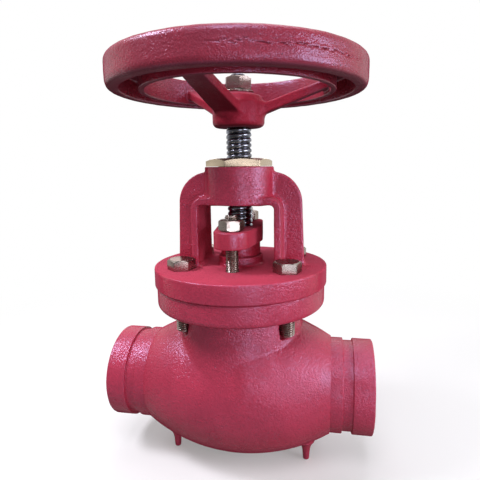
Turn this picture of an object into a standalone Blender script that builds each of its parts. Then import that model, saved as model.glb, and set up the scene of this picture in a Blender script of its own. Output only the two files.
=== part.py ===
"""Globe valve with grooved pipe ends, an outside yoke and a handwheel that rises with its stem.

All sizes are metres. The origin lies on the floor under the stem, +X runs along the pipe towards
the outlet and +Z runs up the stem. The valve is modelled shut, with its disc on the seat.
"""
from math import asin, ceil, cos, pi, radians, sin, sqrt

import bmesh
import bpy
from mathutils import Matrix, Vector

# Clearances
CONTACT_GAP = 0.0003
RUNNING_GAP = 0.00035
BOLT_HOLE_CLEARANCE = 0.00075
THREAD_CLEARANCE = 0.0003

# Grooved pipe ends, for a 76.1 mm pipe
FACE_TO_FACE = 0.216
PIPE_RADIUS = 0.03805
PIPE_WALL = 0.00655
COLLAR_LENGTH = 0.01588
GROOVE_WIDTH = 0.00795
GROOVE_DEPTH = 0.00192
LAND_LENGTH = 0.0098
END_CHAMFER = 0.0008

# Globe, neck and feet
PIPE_HEIGHT = 0.0609
GLOBE_RADIUS = 0.0595
SHOULDER_STEP = 0.001
WALL = 0.008
NECK_TOP_RADIUS = 0.0470
NECK_FOOT_RISE = 0.0110
NECK_FILLET = 0.0030
NECK_BORE_RADIUS = 0.0363
FOOT_SPACING_X = 0.112
FOOT_SPACING_Y = 0.032
FOOT_ROOT_RADIUS = 0.0046
FOOT_TIP_RADIUS = 0.0022
FOOT_ROUNDING = 0.0015

# Seat wall, which carries the seat across the globe
SEAT_WALL_THICKNESS = 0.009
SEAT_WALL_RISE = 0.040
SEAT_WALL_REACH = 0.080
SEAT_WALL_SWEEP_START = 0.0558
SEAT_WALL_SWEEP_RISE = 0.038
SEAT_WALL_SWEEP_END = 0.0521
SEAT_WALL_POINTS = 10
SEAT_SHELF_MARGIN = 0.0035
SEAT_BORE_RADIUS = 0.030
SEAT_RING_WALL = 0.0034
SEAT_RING_LIP = 0.0022
SEAT_RING_LIP_THICKNESS = 0.0025

# Body flange
BODY_FLANGE_RADIUS = 0.0684
BODY_FLANGE_THICKNESS = 0.0172
BODY_FLANGE_TOP = 0.0871
BODY_FLANGE_ROUNDING = 0.0045
FLANGE_EDGE = 0.0007
GASKET_RECESS_RADIUS = 0.0430
GASKET_RECESS_DEPTH = 0.003
GASKET_THICKNESS = 0.0015

# Bonnet flange, stuffing box and throat
BONNET_FLANGE_RADIUS = 0.0699
BONNET_FLANGE_THICKNESS = 0.0150
BONNET_TOP_ROUNDING = 0.0015
BOX_RADIUS = 0.0180
BOX_RISE = 0.0069
BOX_FILLET = 0.0035
BOX_BORE_RADIUS = 0.0150
BOX_DEPTH = 0.0320
THROAT_OUTER_RADIUS = 0.0195
BACKSEAT_WALL = 0.0030
BACKSEAT_LIP = 0.0035
BACKSEAT_LIP_THICKNESS = 0.003

# Yoke, two arms of T section that carry the boss for the stem nut
YOKE_INNER_HALF_SPAN = 0.0299
YOKE_BAR_THICKNESS = 0.0054
YOKE_BAR_WIDTH = 0.040
YOKE_BAR_CORNER = 0.0035
YOKE_BAR_SETBACK = 0.0012
YOKE_ROOF_RISE = 0.0092
YOKE_FOOT_DEPTH = 0.005
YOKE_WEB_THICKNESS = 0.008
YOKE_WEB_REACH_TOP = 0.050
YOKE_WEB_REACH_BASE = 0.052
YOKE_ARCH_RADIUS = 0.025
YOKE_EDGE = 0.0010
BOSS_RADIUS = 0.0274
BOSS_HEIGHT = 0.0290
WINDOW_HEIGHT = 0.0486
BOSS_EDGE = 0.0010

# Yoke bush, the brass nut of the stem
BUSH_ACROSS_FLATS = 0.046
BUSH_HEAD_HEIGHT = 0.0061
BUSH_CHAMFER = 0.0022
BUSH_WALL = 0.0065
BUSH_TURN = radians(17)

# Stem
STEM_RADIUS = 0.010
STEM_LIFT = 0.018
STEM_SQUARE = 0.014
STEM_END_RADIUS = 0.006
STEM_END_RISE = 0.0142
STEM_COLLAR_RADIUS = 0.0130
STEM_COLLAR_HEIGHT = 0.0085
STEM_TIP_ROUNDING = 0.0025
STEM_CHAMFER = 0.001

# Disc, its soft facing and the cover that holds the stem in it
DISC_RADIUS = 0.0355
DISC_THICKNESS = 0.0095
DISC_FLOOR = 0.0065
DISC_HEIGHT = 0.0235
DISC_BOSS_RADIUS = 0.0195
FACING_WIDTH = 0.0058
FACING_THICKNESS = 0.004
FACING_STANDOUT = 0.001
COVER_SLEEVE_RADIUS = 0.0152
COVER_ACROSS_FLATS = 0.034
COVER_HEX_HEIGHT = 0.005
COVER_CONE_HEIGHT = 0.0035

# Packing and gland
PACKING_RINGS = 4
PACKING_RING_HEIGHT = 0.006
PACKING_BASE_HEIGHT = 0.003
GLAND_COLLAR_RADIUS = 0.0160
GLAND_COLLAR_HEIGHT = 0.0108
GLAND_COLLAR_STANDOFF = 0.0005
GLAND_LOBE_RADIUS = 0.0135
GLAND_MIDDLE_RADIUS = 0.0182
GLAND_THICKNESS = 0.0127
GLAND_EDGE = 0.0010
STUD_SPACING = 0.064
STUD_RADIUS = 0.005
STUD_DEPTH = 0.012
STUD_RISE = 0.0424
STUD_NUT_ACROSS_FLATS = 0.017
STUD_NUT_HEIGHT = 0.0081
STUD_NUT_TURN = radians(21)

# Bonnet bolts, M12
BOLT_RADIUS = 0.006
BOLT_LENGTH = 0.050
BOLT_HEAD_ACROSS_FLATS = 0.019
BOLT_HEAD_HEIGHT = 0.0078
BOLT_CIRCLE_RADIUS = 0.0502
BOLT_ANGLE = radians(35)
BOLT_TURNS = {"right_front": 14, "right_rear": 3, "left_rear": 41, "left_front": 17}
BOLT_RELIEF_CLEARANCE = 0.0016
BOLT_RELIEF_DEPTH = 0.0025

# Handwheel
WHEEL_RADIUS = 0.0974
RIM_HEIGHT = 0.0213
RIM_OUTER_WALL = 0.0095
RIM_WIDTH = 0.0272
RIM_INNER_WALL = 0.0044
RIM_CROWN = 0.0062
RIM_ROUNDING = 0.0040
RIM_INNER_ROUNDING = 0.0034
RIM_LIP_ROUNDING = 0.0015
RIM_ABOVE_HUB_FOOT = 0.0256
HUB_HEIGHT = 0.0256
HUB_FOOT_RADIUS = 0.0202
HUB_TOP_RADIUS = 0.0120
HUB_ROUNDING = 0.0040
HUB_SIDE_HEIGHT = 0.0188
HUB_SHOULDER_RADIUS = 0.0180
HUB_SHOULDER_DROP = 0.0024
HUB_ABOVE_BUSH = 0.0234
SPOKES = 3
SPOKE_ANGLE = radians(15)
SPOKE_WIDTH = 0.0225
SPOKE_TIP_WIDTH = 0.0160
SPOKE_ROOT_DEPTH = 0.0081
SPOKE_TIP_DEPTH = 0.0073
SPOKE_ROOT_RISE = 0.0046
SPOKE_TIP_RISE = 0.0051
SPOKE_EDGE = 0.002

# Wheel nut, M12, and its washer
WHEEL_NUT_ACROSS_FLATS = 0.019
WHEEL_NUT_HEIGHT = 0.010
WHEEL_NUT_TURN = radians(48)
WASHER_RADIUS = 0.012
WASHER_THICKNESS = 0.0013

# Chamfer of every hexagon: the radius it starts at, as a share of the width across flats
CHAMFER_START = 0.475
CHAMFER_SPARE = 0.002

# Facets of the round pieces
PIPE_STEPS = 36
NECK_STEPS = 40
WHEEL_STEPS = 48
RING_STEPS = 24
SHANK_STEPS = 12
ARC_STEP = radians(45)
GLOBE_POINTS = 8
SHARP_ANGLE = radians(32)
MERGE_DISTANCE = 0.00001

# Heights that follow from the sizes above
flange_top = PIPE_HEIGHT + BODY_FLANGE_TOP
flange_underside = flange_top - BODY_FLANGE_THICKNESS
bonnet_underside = flange_top + CONTACT_GAP
bonnet_top = bonnet_underside + BONNET_FLANGE_THICKNESS
box_top = bonnet_top + BOX_RISE
box_floor = box_top - BOX_DEPTH
boss_underside = bonnet_top + WINDOW_HEIGHT
boss_top = boss_underside + BOSS_HEIGHT
seat_shelf = PIPE_HEIGHT + SEAT_WALL_THICKNESS / 2
seat_top = seat_shelf + CONTACT_GAP + SEAT_RING_LIP_THICKNESS
facing_underside = seat_top + CONTACT_GAP
disc_underside = facing_underside + FACING_STANDOUT
disc_boss_top = disc_underside + DISC_HEIGHT
socket_floor = disc_underside + DISC_FLOOR
stem_foot = socket_floor + CONTACT_GAP
stem_collar_top = stem_foot + STEM_COLLAR_HEIGHT
cover_hex_foot = disc_boss_top + CONTACT_GAP
cover_top = cover_hex_foot + COVER_HEX_HEIGHT + COVER_CONE_HEIGHT
backseat_foot = cover_top + STEM_LIFT + CONTACT_GAP
throat_foot = backseat_foot + BACKSEAT_LIP_THICKNESS + CONTACT_GAP
bush_head_foot = boss_top + CONTACT_GAP
bush_top = bush_head_foot + BUSH_HEAD_HEIGHT
hub_foot = bush_top + HUB_ABOVE_BUSH
hub_top = hub_foot + HUB_HEIGHT
rim_foot = hub_foot + RIM_ABOVE_HUB_FOOT
stem_shoulder = hub_foot - CONTACT_GAP

# Radii that follow from the sizes above
bore_radius = PIPE_RADIUS - PIPE_WALL
groove_radius = PIPE_RADIUS - GROOVE_DEPTH
rim_inner_radius = WHEEL_RADIUS - RIM_WIDTH
stem_bore_radius = STEM_RADIUS + RUNNING_GAP
seat_ring_radius = SEAT_BORE_RADIUS + SEAT_RING_WALL
backseat_radius = stem_bore_radius + BACKSEAT_WALL
bush_radius = stem_bore_radius + BUSH_WALL

# Places that follow from the sizes above
globe_reach = FACE_TO_FACE / 2 - COLLAR_LENGTH - GROOVE_WIDTH - LAND_LENGTH
bolt_x = BOLT_CIRCLE_RADIUS * cos(BOLT_ANGLE)
bolt_y = BOLT_CIRCLE_RADIUS * sin(BOLT_ANGLE)
bolt_places = {
    "right_front": (bolt_x, -bolt_y),
    "right_rear": (bolt_x, bolt_y),
    "left_rear": (-bolt_x, bolt_y),
    "left_front": (-bolt_x, -bolt_y),
}
stud_places = {"front": (0, -STUD_SPACING / 2), "rear": (0, STUD_SPACING / 2)}

COLOURS = {
    "red paint": ((0.35, 0.045, 0.075), 0.42, 0.0),
    "brass": ((0.72, 0.58, 0.30), 0.35, 1.0),
    "zinc": ((0.55, 0.50, 0.42), 0.35, 1.0),
    "steel": ((0.30, 0.30, 0.32), 0.30, 1.0),
    "iron": ((0.16, 0.15, 0.15), 0.60, 1.0),
    "graphite": ((0.03, 0.03, 0.032), 0.70, 0.0),
    "rubber": ((0.02, 0.02, 0.02), 0.75, 0.0),
    "gasket": ((0.11, 0.10, 0.09), 0.80, 0.0),
}


def clear_scene():
    for item in list(bpy.data.objects):
        bpy.data.objects.remove(item, do_unlink=True)
    for group in list(bpy.data.collections):
        bpy.data.collections.remove(group)


def make_collection(name):
    group = bpy.data.collections.new(name)
    bpy.context.scene.collection.children.link(group)
    return group


def make_material(name, look):
    colour, roughness, metallic = COLOURS[look]
    material = bpy.data.materials.new(name)
    material.use_nodes = True
    shader = material.node_tree.nodes["Principled BSDF"]
    shader.inputs["Base Color"].default_value = (*colour, 1.0)
    shader.inputs["Roughness"].default_value = roughness
    shader.inputs["Metallic"].default_value = metallic
    material.diffuse_color = (*colour, 1.0)
    return material


def add_object(name, data):
    item = bpy.data.objects.new(name, data)
    parts.objects.link(item)
    return item


def settle(item):
    """Turns an object's curve and modifiers into a plain mesh in world space."""
    bpy.context.view_layer.update()
    evaluated = item.evaluated_get(bpy.context.evaluated_depsgraph_get())
    mesh = bpy.data.meshes.new_from_object(evaluated)
    mesh.transform(item.matrix_world)
    name = item.name
    bpy.data.objects.remove(item, do_unlink=True)
    shape = bmesh.new()
    shape.from_mesh(mesh)
    bmesh.ops.remove_doubles(shape, verts=shape.verts, dist=MERGE_DISTANCE)
    shape.to_mesh(mesh)
    shape.free()
    settled = add_object(name, mesh)
    return settled


def arc(centre_radius, centre_height, radius, start, end):
    """Points on an arc in a profile, at most ARC_STEP apart, angles from the radial direction."""
    count = max(1, ceil(abs(end - start) / ARC_STEP - MERGE_DISTANCE))
    angles = [start + (end - start) * i / count for i in range(count + 1)]
    return [(centre_radius + radius * cos(a), centre_height + radius * sin(a)) for a in angles]


def turned(name, profile, steps=RING_STEPS, ring=False):
    """Turns a profile of (radius, height) points about Z. It runs down its outer side."""
    mesh = bpy.data.meshes.new(name)
    count = len(profile)
    edges = [(i, i + 1) for i in range(count - 1)]
    if ring:
        edges.append((count - 1, 0))
    mesh.from_pydata([(radius, 0.0, height) for radius, height in profile], edges, [])
    item = add_object(name, mesh)
    screw = item.modifiers.new("Turn", "SCREW")
    screw.steps = steps
    screw.render_steps = steps
    screw.use_merge_vertices = True
    screw.merge_threshold = MERGE_DISTANCE
    screw.use_smooth_shade = True
    return item


def turned_about_pipe(name, profile, steps=PIPE_STEPS):
    """Turns a profile of (radius, distance along the pipe) points about the pipe's axis."""
    item = turned(name, profile, steps)
    item.matrix_world = Matrix.Translation((0, 0, PIPE_HEIGHT)) @ Matrix.Rotation(pi / 2, 4, "Y")
    return settle(item)


def bar(name, radius, foot, top, steps=SHANK_STEPS, chamfer=0.0):
    """A round bar about Z, with an optional chamfer round its top and its foot."""
    rim = [(radius - chamfer, top), (radius, top - chamfer),
           (radius, foot + chamfer), (radius - chamfer, foot)]
    if not chamfer:
        rim = [(radius, top), (radius, foot)]
    return settle(turned(name, [(0, top)] + rim + [(0, foot)], steps))


def ring(name, inner, outer, foot, top, steps=RING_STEPS):
    profile = [(inner, top), (outer, top), (outer, foot), (inner, foot)]
    return settle(turned(name, profile, steps, ring=True))


def plate(name, outline, thickness, edge=0.0, upright=False):
    """A flat outline of (x, y) points, or of (x, z) points where upright, extruded both ways."""
    curve = bpy.data.curves.new(name, "CURVE")
    curve.dimensions = "2D"
    curve.fill_mode = "BOTH"
    curve.extrude = thickness / 2
    line = curve.splines.new("POLY")
    line.points.add(len(outline) - 1)
    for point, (x, y) in zip(line.points, outline):
        point.co = (x, y, 0, 1)
    line.use_cyclic_u = True
    item = add_object(name, curve)
    if upright:
        item.matrix_world = Matrix.Rotation(pi / 2, 4, "X")
    item = settle(item)
    if edge:
        bevel = item.modifiers.new("Edges", "BEVEL")
        bevel.width = edge
        bevel.segments = 1
        bevel.limit_method = "ANGLE"
        bevel.angle_limit = radians(50)
        item = settle(item)
    return item


def hexagon(name, across_flats, foot, top, turn=0.0, chamfer=0.0):
    """A hexagonal prism about Z, its corner at the turn's angle, with a turned chamfer at its top."""
    corner = across_flats / sqrt(3)
    shape = bmesh.new()
    matrix = Matrix.Translation((0, 0, (foot + top) / 2)) @ Matrix.Rotation(turn - pi / 2, 4, "Z")
    bmesh.ops.create_cone(shape, cap_ends=True, segments=6, radius1=corner, radius2=corner,
                          depth=top - foot, matrix=matrix)
    mesh = bpy.data.meshes.new(name)
    shape.to_mesh(mesh)
    shape.free()
    item = add_object(name, mesh)
    if chamfer:
        flat = across_flats * CHAMFER_START
        slope = chamfer / (corner - flat)
        outer = corner + CHAMFER_SPARE
        profile = [(0, top + CHAMFER_SPARE), (flat - CHAMFER_SPARE / slope, top + CHAMFER_SPARE),
                   (outer, top - slope * (outer - flat)), (outer, foot - CHAMFER_SPARE),
                   (0, foot - CHAMFER_SPARE)]
        envelope = settle(turned(name + "_envelope", profile))
        item = combine(item, envelope, "INTERSECT")
    return item


def combine(target, tool, operation, solver="EXACT"):
    """Joins, cuts or intersects two closed solids. The tool is used up."""
    boolean = target.modifiers.new(operation.title(), "BOOLEAN")
    boolean.operation = operation
    boolean.solver = solver
    boolean.object = tool
    result = settle(target)
    bpy.data.objects.remove(tool, do_unlink=True)
    return result


def join(target, *tools, solver="EXACT"):
    for tool in tools:
        target = combine(target, tool, "UNION", solver)
    return target


def cut(target, *tools, solver="EXACT"):
    for tool in tools:
        target = combine(target, tool, "DIFFERENCE", solver)
    return target


def copies(item, places):
    """One object that holds a copy of a settled solid at each place. The places lie apart."""
    shape = bmesh.new()
    for x, y in places:
        mesh = item.data.copy()
        mesh.transform(Matrix.Translation((x, y, 0)))
        shape.from_mesh(mesh)
        bpy.data.meshes.remove(mesh)
    shape.to_mesh(item.data)
    shape.free()
    return item


def finish(item, look, origin=(0, 0, 0)):
    """Shades a settled solid, gives it its material and sets its origin."""
    item.data.name = item.name
    item.data.shade_smooth()
    item.data.set_sharp_from_angle(angle=SHARP_ANGLE)
    item.data.materials.clear()
    item.data.materials.append(make_material(item.name, look))
    item.data.transform(Matrix.Translation(-Vector(origin)))
    item.location = origin
    return item


def globe_radius(x):
    """The globe's outer radius at a distance along the pipe: one arc from shoulder to shoulder."""
    rise = GLOBE_RADIUS - PIPE_RADIUS - SHOULDER_STEP
    sweep = (rise ** 2 + globe_reach ** 2) / (2 * rise)
    return GLOBE_RADIUS - sweep + sqrt(sweep ** 2 - x ** 2)


def globe_and_pipe_ends():
    """The outside of the globe with a groove and a collar at each pipe end."""
    end = FACE_TO_FACE / 2
    groove_outer = end - COLLAR_LENGTH
    groove_inner = groove_outer - GROOVE_WIDTH
    half = [(0, end), (PIPE_RADIUS - END_CHAMFER, end), (PIPE_RADIUS, end - END_CHAMFER),
            (PIPE_RADIUS, groove_outer), (groove_radius, groove_outer),
            (groove_radius, groove_inner), (PIPE_RADIUS, groove_inner), (PIPE_RADIUS, globe_reach)]
    for i in range(GLOBE_POINTS):
        x = globe_reach * (1 - i / GLOBE_POINTS)
        half.append((globe_radius(x), x))
    other = [(radius, -x) for radius, x in reversed(half)]
    return turned_about_pipe("body", half + [(GLOBE_RADIUS, 0)] + other)


def neck_and_flange():
    """The flange and the conical neck under it, which dives into the globe above the pipe's axis."""
    rounding = BODY_FLANGE_ROUNDING
    edge = FLANGE_EDGE
    foot_radius = sqrt(GLOBE_RADIUS ** 2 - NECK_FOOT_RISE ** 2) - CONTACT_GAP
    fillet = NECK_FILLET
    profile = [(0, flange_top), (BODY_FLANGE_RADIUS - edge, flange_top),
               (BODY_FLANGE_RADIUS, flange_top - edge)]
    profile += arc(BODY_FLANGE_RADIUS - rounding, flange_underside + rounding, rounding, 0, -pi / 2)
    profile += arc(NECK_TOP_RADIUS + fillet, flange_underside - fillet, fillet, pi / 2, pi)
    profile += [(foot_radius, PIPE_HEIGHT + NECK_FOOT_RISE), (0, PIPE_HEIGHT + NECK_FOOT_RISE)]
    return settle(turned("neck", profile, NECK_STEPS))


def bolt_reliefs():
    """Scallops in the neck that clear the ends of the four bonnet bolts."""
    radius = BOLT_RADIUS + BOLT_RELIEF_CLEARANCE
    foot = bonnet_top + CONTACT_GAP - BOLT_LENGTH - BOLT_RELIEF_DEPTH
    profile = [(0, flange_underside), (radius, flange_underside), (radius, foot + BOLT_RELIEF_DEPTH),
               (radius - BOLT_RELIEF_DEPTH, foot), (0, foot)]
    relief = settle(turned("bolt_reliefs", profile, SHANK_STEPS))
    return copies(relief, bolt_places.values())


def feet():
    """Four cast nubs that the valve stands on."""
    root = PIPE_HEIGHT - globe_radius(FOOT_SPACING_X / 2) + WALL / 2
    tip = arc(FOOT_TIP_RADIUS, FOOT_ROUNDING, FOOT_ROUNDING, 0, -pi / 2)
    profile = [(0, root), (FOOT_ROOT_RADIUS, root), *tip, (0, 0)]
    foot = settle(turned("feet", profile, SHANK_STEPS))
    sides = [(i * FOOT_SPACING_X / 2, j * FOOT_SPACING_Y / 2) for i in (-1, 1) for j in (-1, 1)]
    return copies(foot, sides)


def seat_wall():
    """The S-shaped wall between inlet and outlet, extruded across the globe.

    It leaves the roof over the inlet, sweeps down to a level shelf for the seat, and sweeps on
    down to the floor under the outlet, so that the flow must rise through the seat.
    """
    shelf = seat_ring_radius + SEAT_SHELF_MARGIN
    controls = [Vector((-SEAT_WALL_REACH, SEAT_WALL_RISE)),
                Vector((-SEAT_WALL_SWEEP_START, SEAT_WALL_SWEEP_RISE)),
                Vector((-SEAT_WALL_SWEEP_END, 0)), Vector((-shelf, 0))]
    half = []
    for i in range(SEAT_WALL_POINTS + 1):
        t = i / SEAT_WALL_POINTS
        weights = [(1 - t) ** 3, 3 * t * (1 - t) ** 2, 3 * t ** 2 * (1 - t), t ** 3]
        half.append(sum((weight * point for weight, point in zip(weights, controls)), Vector((0, 0))))
    line = half + [-point for point in reversed(half)]
    upper = []
    lower = []
    for i, point in enumerate(line):
        along = line[min(i + 1, len(line) - 1)] - line[max(i - 1, 0)]
        side = Vector((-along.y, along.x)).normalized() * SEAT_WALL_THICKNESS / 2
        upper.append(point + side)
        lower.append(point - side)
    outline = [(point.x, point.y + PIPE_HEIGHT) for point in upper + lower[::-1]]
    return plate("seat_wall", outline, 2 * GLOBE_RADIUS, upright=True)


def cavity():
    """The space inside the body: the globe, both bores and the neck, less the seat wall."""
    end = FACE_TO_FACE / 2 + WALL
    half = [(0, end), (bore_radius, end), (bore_radius, globe_reach)]
    count = GLOBE_POINTS - 2
    for i in range(1, count):
        x = globe_reach * (1 - i / count)
        half.append((max(bore_radius, globe_radius(x) - WALL), x))
    other = [(radius, -x) for radius, x in reversed(half)]
    space = turned_about_pipe("cavity", half + [(GLOBE_RADIUS - WALL, 0)] + other)
    neck = bar("neck_bore", NECK_BORE_RADIUS, PIPE_HEIGHT, flange_top + WALL, NECK_STEPS)
    return cut(join(space, neck), seat_wall())


def make_body():
    neck = cut(neck_and_flange(), bolt_reliefs())
    body = cut(join(globe_and_pipe_ends(), neck, feet()), cavity())
    seat_bore = bar("seat_bore", seat_ring_radius + CONTACT_GAP, seat_shelf - 2 * SEAT_WALL_THICKNESS,
                    seat_shelf + SEAT_WALL_THICKNESS, RING_STEPS)
    recess = bar("recess", GASKET_RECESS_RADIUS, flange_top - GASKET_RECESS_DEPTH,
                 flange_top + WALL, NECK_STEPS)
    hole = bar("tapped_holes", BOLT_RADIUS + THREAD_CLEARANCE, flange_underside - WALL / 2,
               flange_top + WALL)
    body = cut(body, seat_bore, recess, copies(hole, bolt_places.values()))
    return finish(body, "red paint")


def make_seat_ring():
    lip = seat_ring_radius + SEAT_RING_LIP
    profile = [(SEAT_BORE_RADIUS, seat_top), (lip, seat_top), (lip, seat_shelf + CONTACT_GAP),
               (seat_ring_radius, seat_shelf + CONTACT_GAP),
               (seat_ring_radius, seat_shelf - SEAT_WALL_THICKNESS),
               (SEAT_BORE_RADIUS, seat_shelf - SEAT_WALL_THICKNESS)]
    return finish(settle(turned("seat_ring", profile, RING_STEPS, ring=True)), "brass")


def make_gasket():
    foot = flange_top - GASKET_RECESS_DEPTH + CONTACT_GAP
    gasket = ring("bonnet_gasket", NECK_BORE_RADIUS + CONTACT_GAP, GASKET_RECESS_RADIUS - CONTACT_GAP,
                  foot, foot + GASKET_THICKNESS, NECK_STEPS)
    return finish(gasket, "gasket")


def yoke_path(half_span, corner, rise):
    """Half of an arch in the plane of the arms, from the flange up and in to the boss."""
    foot = bonnet_top - YOKE_FOOT_DEPTH
    turn = arc(half_span - corner, boss_underside + rise - corner, corner, 0, pi / 2)
    return [(half_span, foot), *turn, (bush_radius, boss_underside + rise)]


def mirrored(path):
    """Closes half an outline with its mirror image across the stem."""
    return path + [(-x, z) for x, z in reversed(path)]


def make_yoke():
    """Both arms and the boss. Each arm is a wide bar with a narrow web on its outer face."""
    inner = yoke_path(YOKE_INNER_HALF_SPAN, YOKE_BAR_CORNER, YOKE_BAR_SETBACK)
    half_bar = YOKE_BAR_THICKNESS / 2
    middle = yoke_path(YOKE_INNER_HALF_SPAN + half_bar, YOKE_BAR_CORNER + half_bar,
                       half_bar + YOKE_BAR_SETBACK)
    outer = yoke_path(YOKE_INNER_HALF_SPAN + YOKE_BAR_THICKNESS,
                      YOKE_BAR_CORNER + YOKE_BAR_THICKNESS, YOKE_ROOF_RISE)
    bars = plate("yoke_bars", mirrored(outer) + mirrored(inner)[::-1], YOKE_BAR_WIDTH, YOKE_EDGE,
                 upright=True)
    arch_centre = YOKE_WEB_REACH_TOP - YOKE_ARCH_RADIUS
    arch = arc(arch_centre, boss_underside, YOKE_ARCH_RADIUS, 0, pi / 2)
    back = [(YOKE_WEB_REACH_BASE, middle[0][1]), *arch, (bush_radius, boss_underside + YOKE_ARCH_RADIUS)]
    webs = plate("yoke_webs", mirrored(back) + mirrored(middle)[::-1], YOKE_WEB_THICKNESS, YOKE_EDGE,
                 upright=True)
    boss = bar("boss", BOSS_RADIUS, boss_underside, boss_top, NECK_STEPS, BOSS_EDGE)
    return join(bars, webs, boss, solver="MANIFOLD")


def bonnet_casting():
    """The turned part of the bonnet: flange, stuffing box, gasket tongue and throat."""
    tongue = bonnet_underside - GASKET_RECESS_DEPTH + GASKET_THICKNESS + CONTACT_GAP
    tongue_radius = GASKET_RECESS_RADIUS - CONTACT_GAP
    rounding = BONNET_TOP_ROUNDING
    profile = [(0, box_top), (BOX_RADIUS - FLANGE_EDGE, box_top), (BOX_RADIUS, box_top - FLANGE_EDGE)]
    profile += arc(BOX_RADIUS + BOX_FILLET, bonnet_top + BOX_FILLET, BOX_FILLET, pi, 1.5 * pi)
    profile += arc(BONNET_FLANGE_RADIUS - rounding, bonnet_top - rounding, rounding, pi / 2, 0)
    profile += [(BONNET_FLANGE_RADIUS, bonnet_underside + FLANGE_EDGE),
                (BONNET_FLANGE_RADIUS - FLANGE_EDGE, bonnet_underside),
                (tongue_radius, bonnet_underside), (tongue_radius, tongue)]
    profile += arc(THROAT_OUTER_RADIUS + BOX_FILLET, tongue - BOX_FILLET, BOX_FILLET, pi / 2, pi)
    profile += [(THROAT_OUTER_RADIUS, throat_foot), (0, throat_foot)]
    return settle(turned("bonnet", profile, NECK_STEPS))


def make_bonnet():
    bonnet = join(bonnet_casting(), make_yoke(), solver="MANIFOLD")
    throat_radius = backseat_radius + CONTACT_GAP
    profile = [(0, box_top + WALL), (BOX_BORE_RADIUS, box_top + WALL), (BOX_BORE_RADIUS, box_floor),
               (throat_radius, box_floor), (throat_radius, throat_foot - WALL), (0, throat_foot - WALL)]
    box = settle(turned("box", profile))
    bush_bore = bar("bush_bore", bush_radius + THREAD_CLEARANCE, boss_underside - WALL, boss_top + WALL,
                    RING_STEPS)
    hole = bar("bolt_holes", BOLT_RADIUS + BOLT_HOLE_CLEARANCE, bonnet_underside - WALL,
               bonnet_top + WALL / 2)
    stud_hole = bar("stud_holes", STUD_RADIUS + THREAD_CLEARANCE, bonnet_top - STUD_DEPTH - CONTACT_GAP,
                    bonnet_top + WALL / 2)
    bonnet = cut(bonnet, box, bush_bore, copies(hole, bolt_places.values()),
                 copies(stud_hole, stud_places.values()), solver="MANIFOLD")
    return finish(bonnet, "red paint")


def make_backseat_bush():
    lip = backseat_radius + BACKSEAT_LIP
    lip_top = backseat_foot + BACKSEAT_LIP_THICKNESS
    bore = stem_bore_radius
    top = box_floor - CONTACT_GAP
    profile = [(bore, top), (backseat_radius, top), (backseat_radius, lip_top), (lip, lip_top),
               (lip, backseat_foot), (bore, backseat_foot)]
    return finish(settle(turned("backseat_bush", profile, RING_STEPS, ring=True)), "brass")


def make_packing():
    outer = BOX_BORE_RADIUS - CONTACT_GAP
    foot = box_floor + CONTACT_GAP
    top = foot + PACKING_BASE_HEIGHT
    finish(ring("packing_base_ring", stem_bore_radius, outer, foot, top), "brass")
    for i in range(PACKING_RINGS):
        foot = top + CONTACT_GAP
        top = foot + PACKING_RING_HEIGHT
        finish(ring(f"packing_ring_{i + 1}", stem_bore_radius, outer, foot, top), "graphite")
    return top


def gland_outline():
    """A lobe round each stud and a wider middle round the stem, joined by tangents."""
    reach = STUD_SPACING / 2
    lean = asin((GLAND_MIDDLE_RADIUS - GLAND_LOBE_RADIUS) / reach)
    middle = arc(0, 0, GLAND_MIDDLE_RADIUS, -lean, lean)
    lobe = arc(0, reach, GLAND_LOBE_RADIUS, lean, pi - lean)
    return middle + lobe + [(-x, -y) for x, y in middle + lobe]


def make_gland(packing_top):
    """The gland: an oval flange on the two studs, a collar and the sleeve that presses the packing."""
    sleeve_radius = BOX_BORE_RADIUS - CONTACT_GAP
    collar_foot = box_top + GLAND_COLLAR_STANDOFF
    flange_foot = collar_foot + GLAND_COLLAR_HEIGHT
    flange_head = flange_foot + GLAND_THICKNESS
    flange = plate("gland", gland_outline(), GLAND_THICKNESS, GLAND_EDGE)
    flange.data.transform(Matrix.Translation((0, 0, (flange_foot + flange_head) / 2)))
    overlap = GLAND_THICKNESS / 2
    sleeve_foot = packing_top + CONTACT_GAP
    profile = [(0, flange_foot + overlap), (GLAND_COLLAR_RADIUS, flange_foot + overlap),
               (GLAND_COLLAR_RADIUS, collar_foot), (sleeve_radius, collar_foot),
               (sleeve_radius, sleeve_foot), (0, sleeve_foot)]
    sleeve = settle(turned("sleeve", profile))
    bore = bar("gland_bore", stem_bore_radius, packing_top - WALL, flange_head + WALL, RING_STEPS)
    stud_hole = bar("stud_holes", STUD_RADIUS + BOLT_HOLE_CLEARANCE, flange_foot - WALL / 2,
                    flange_head + WALL)
    gland = cut(join(flange, sleeve), bore, copies(stud_hole, stud_places.values()))
    finish(gland, "red paint")
    return flange_head


def make_gland_studs(gland_top):
    for side, (x, y) in stud_places.items():
        stud = bar(f"gland_stud_{side}", STUD_RADIUS, bonnet_top - STUD_DEPTH, bonnet_top + STUD_RISE,
                   chamfer=STEM_CHAMFER)
        finish(stud, "zinc").location = (x, y, 0)
        foot = gland_top + CONTACT_GAP
        nut = hexagon(f"gland_nut_{side}", STUD_NUT_ACROSS_FLATS, foot, foot + STUD_NUT_HEIGHT,
                      STUD_NUT_TURN, chamfer=STEM_CHAMFER)
        bore = bar("nut_bore", STUD_RADIUS + THREAD_CLEARANCE, foot - WALL, foot + 2 * WALL)
        finish(cut(nut, bore), "zinc").location = (x, y, 0)


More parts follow.
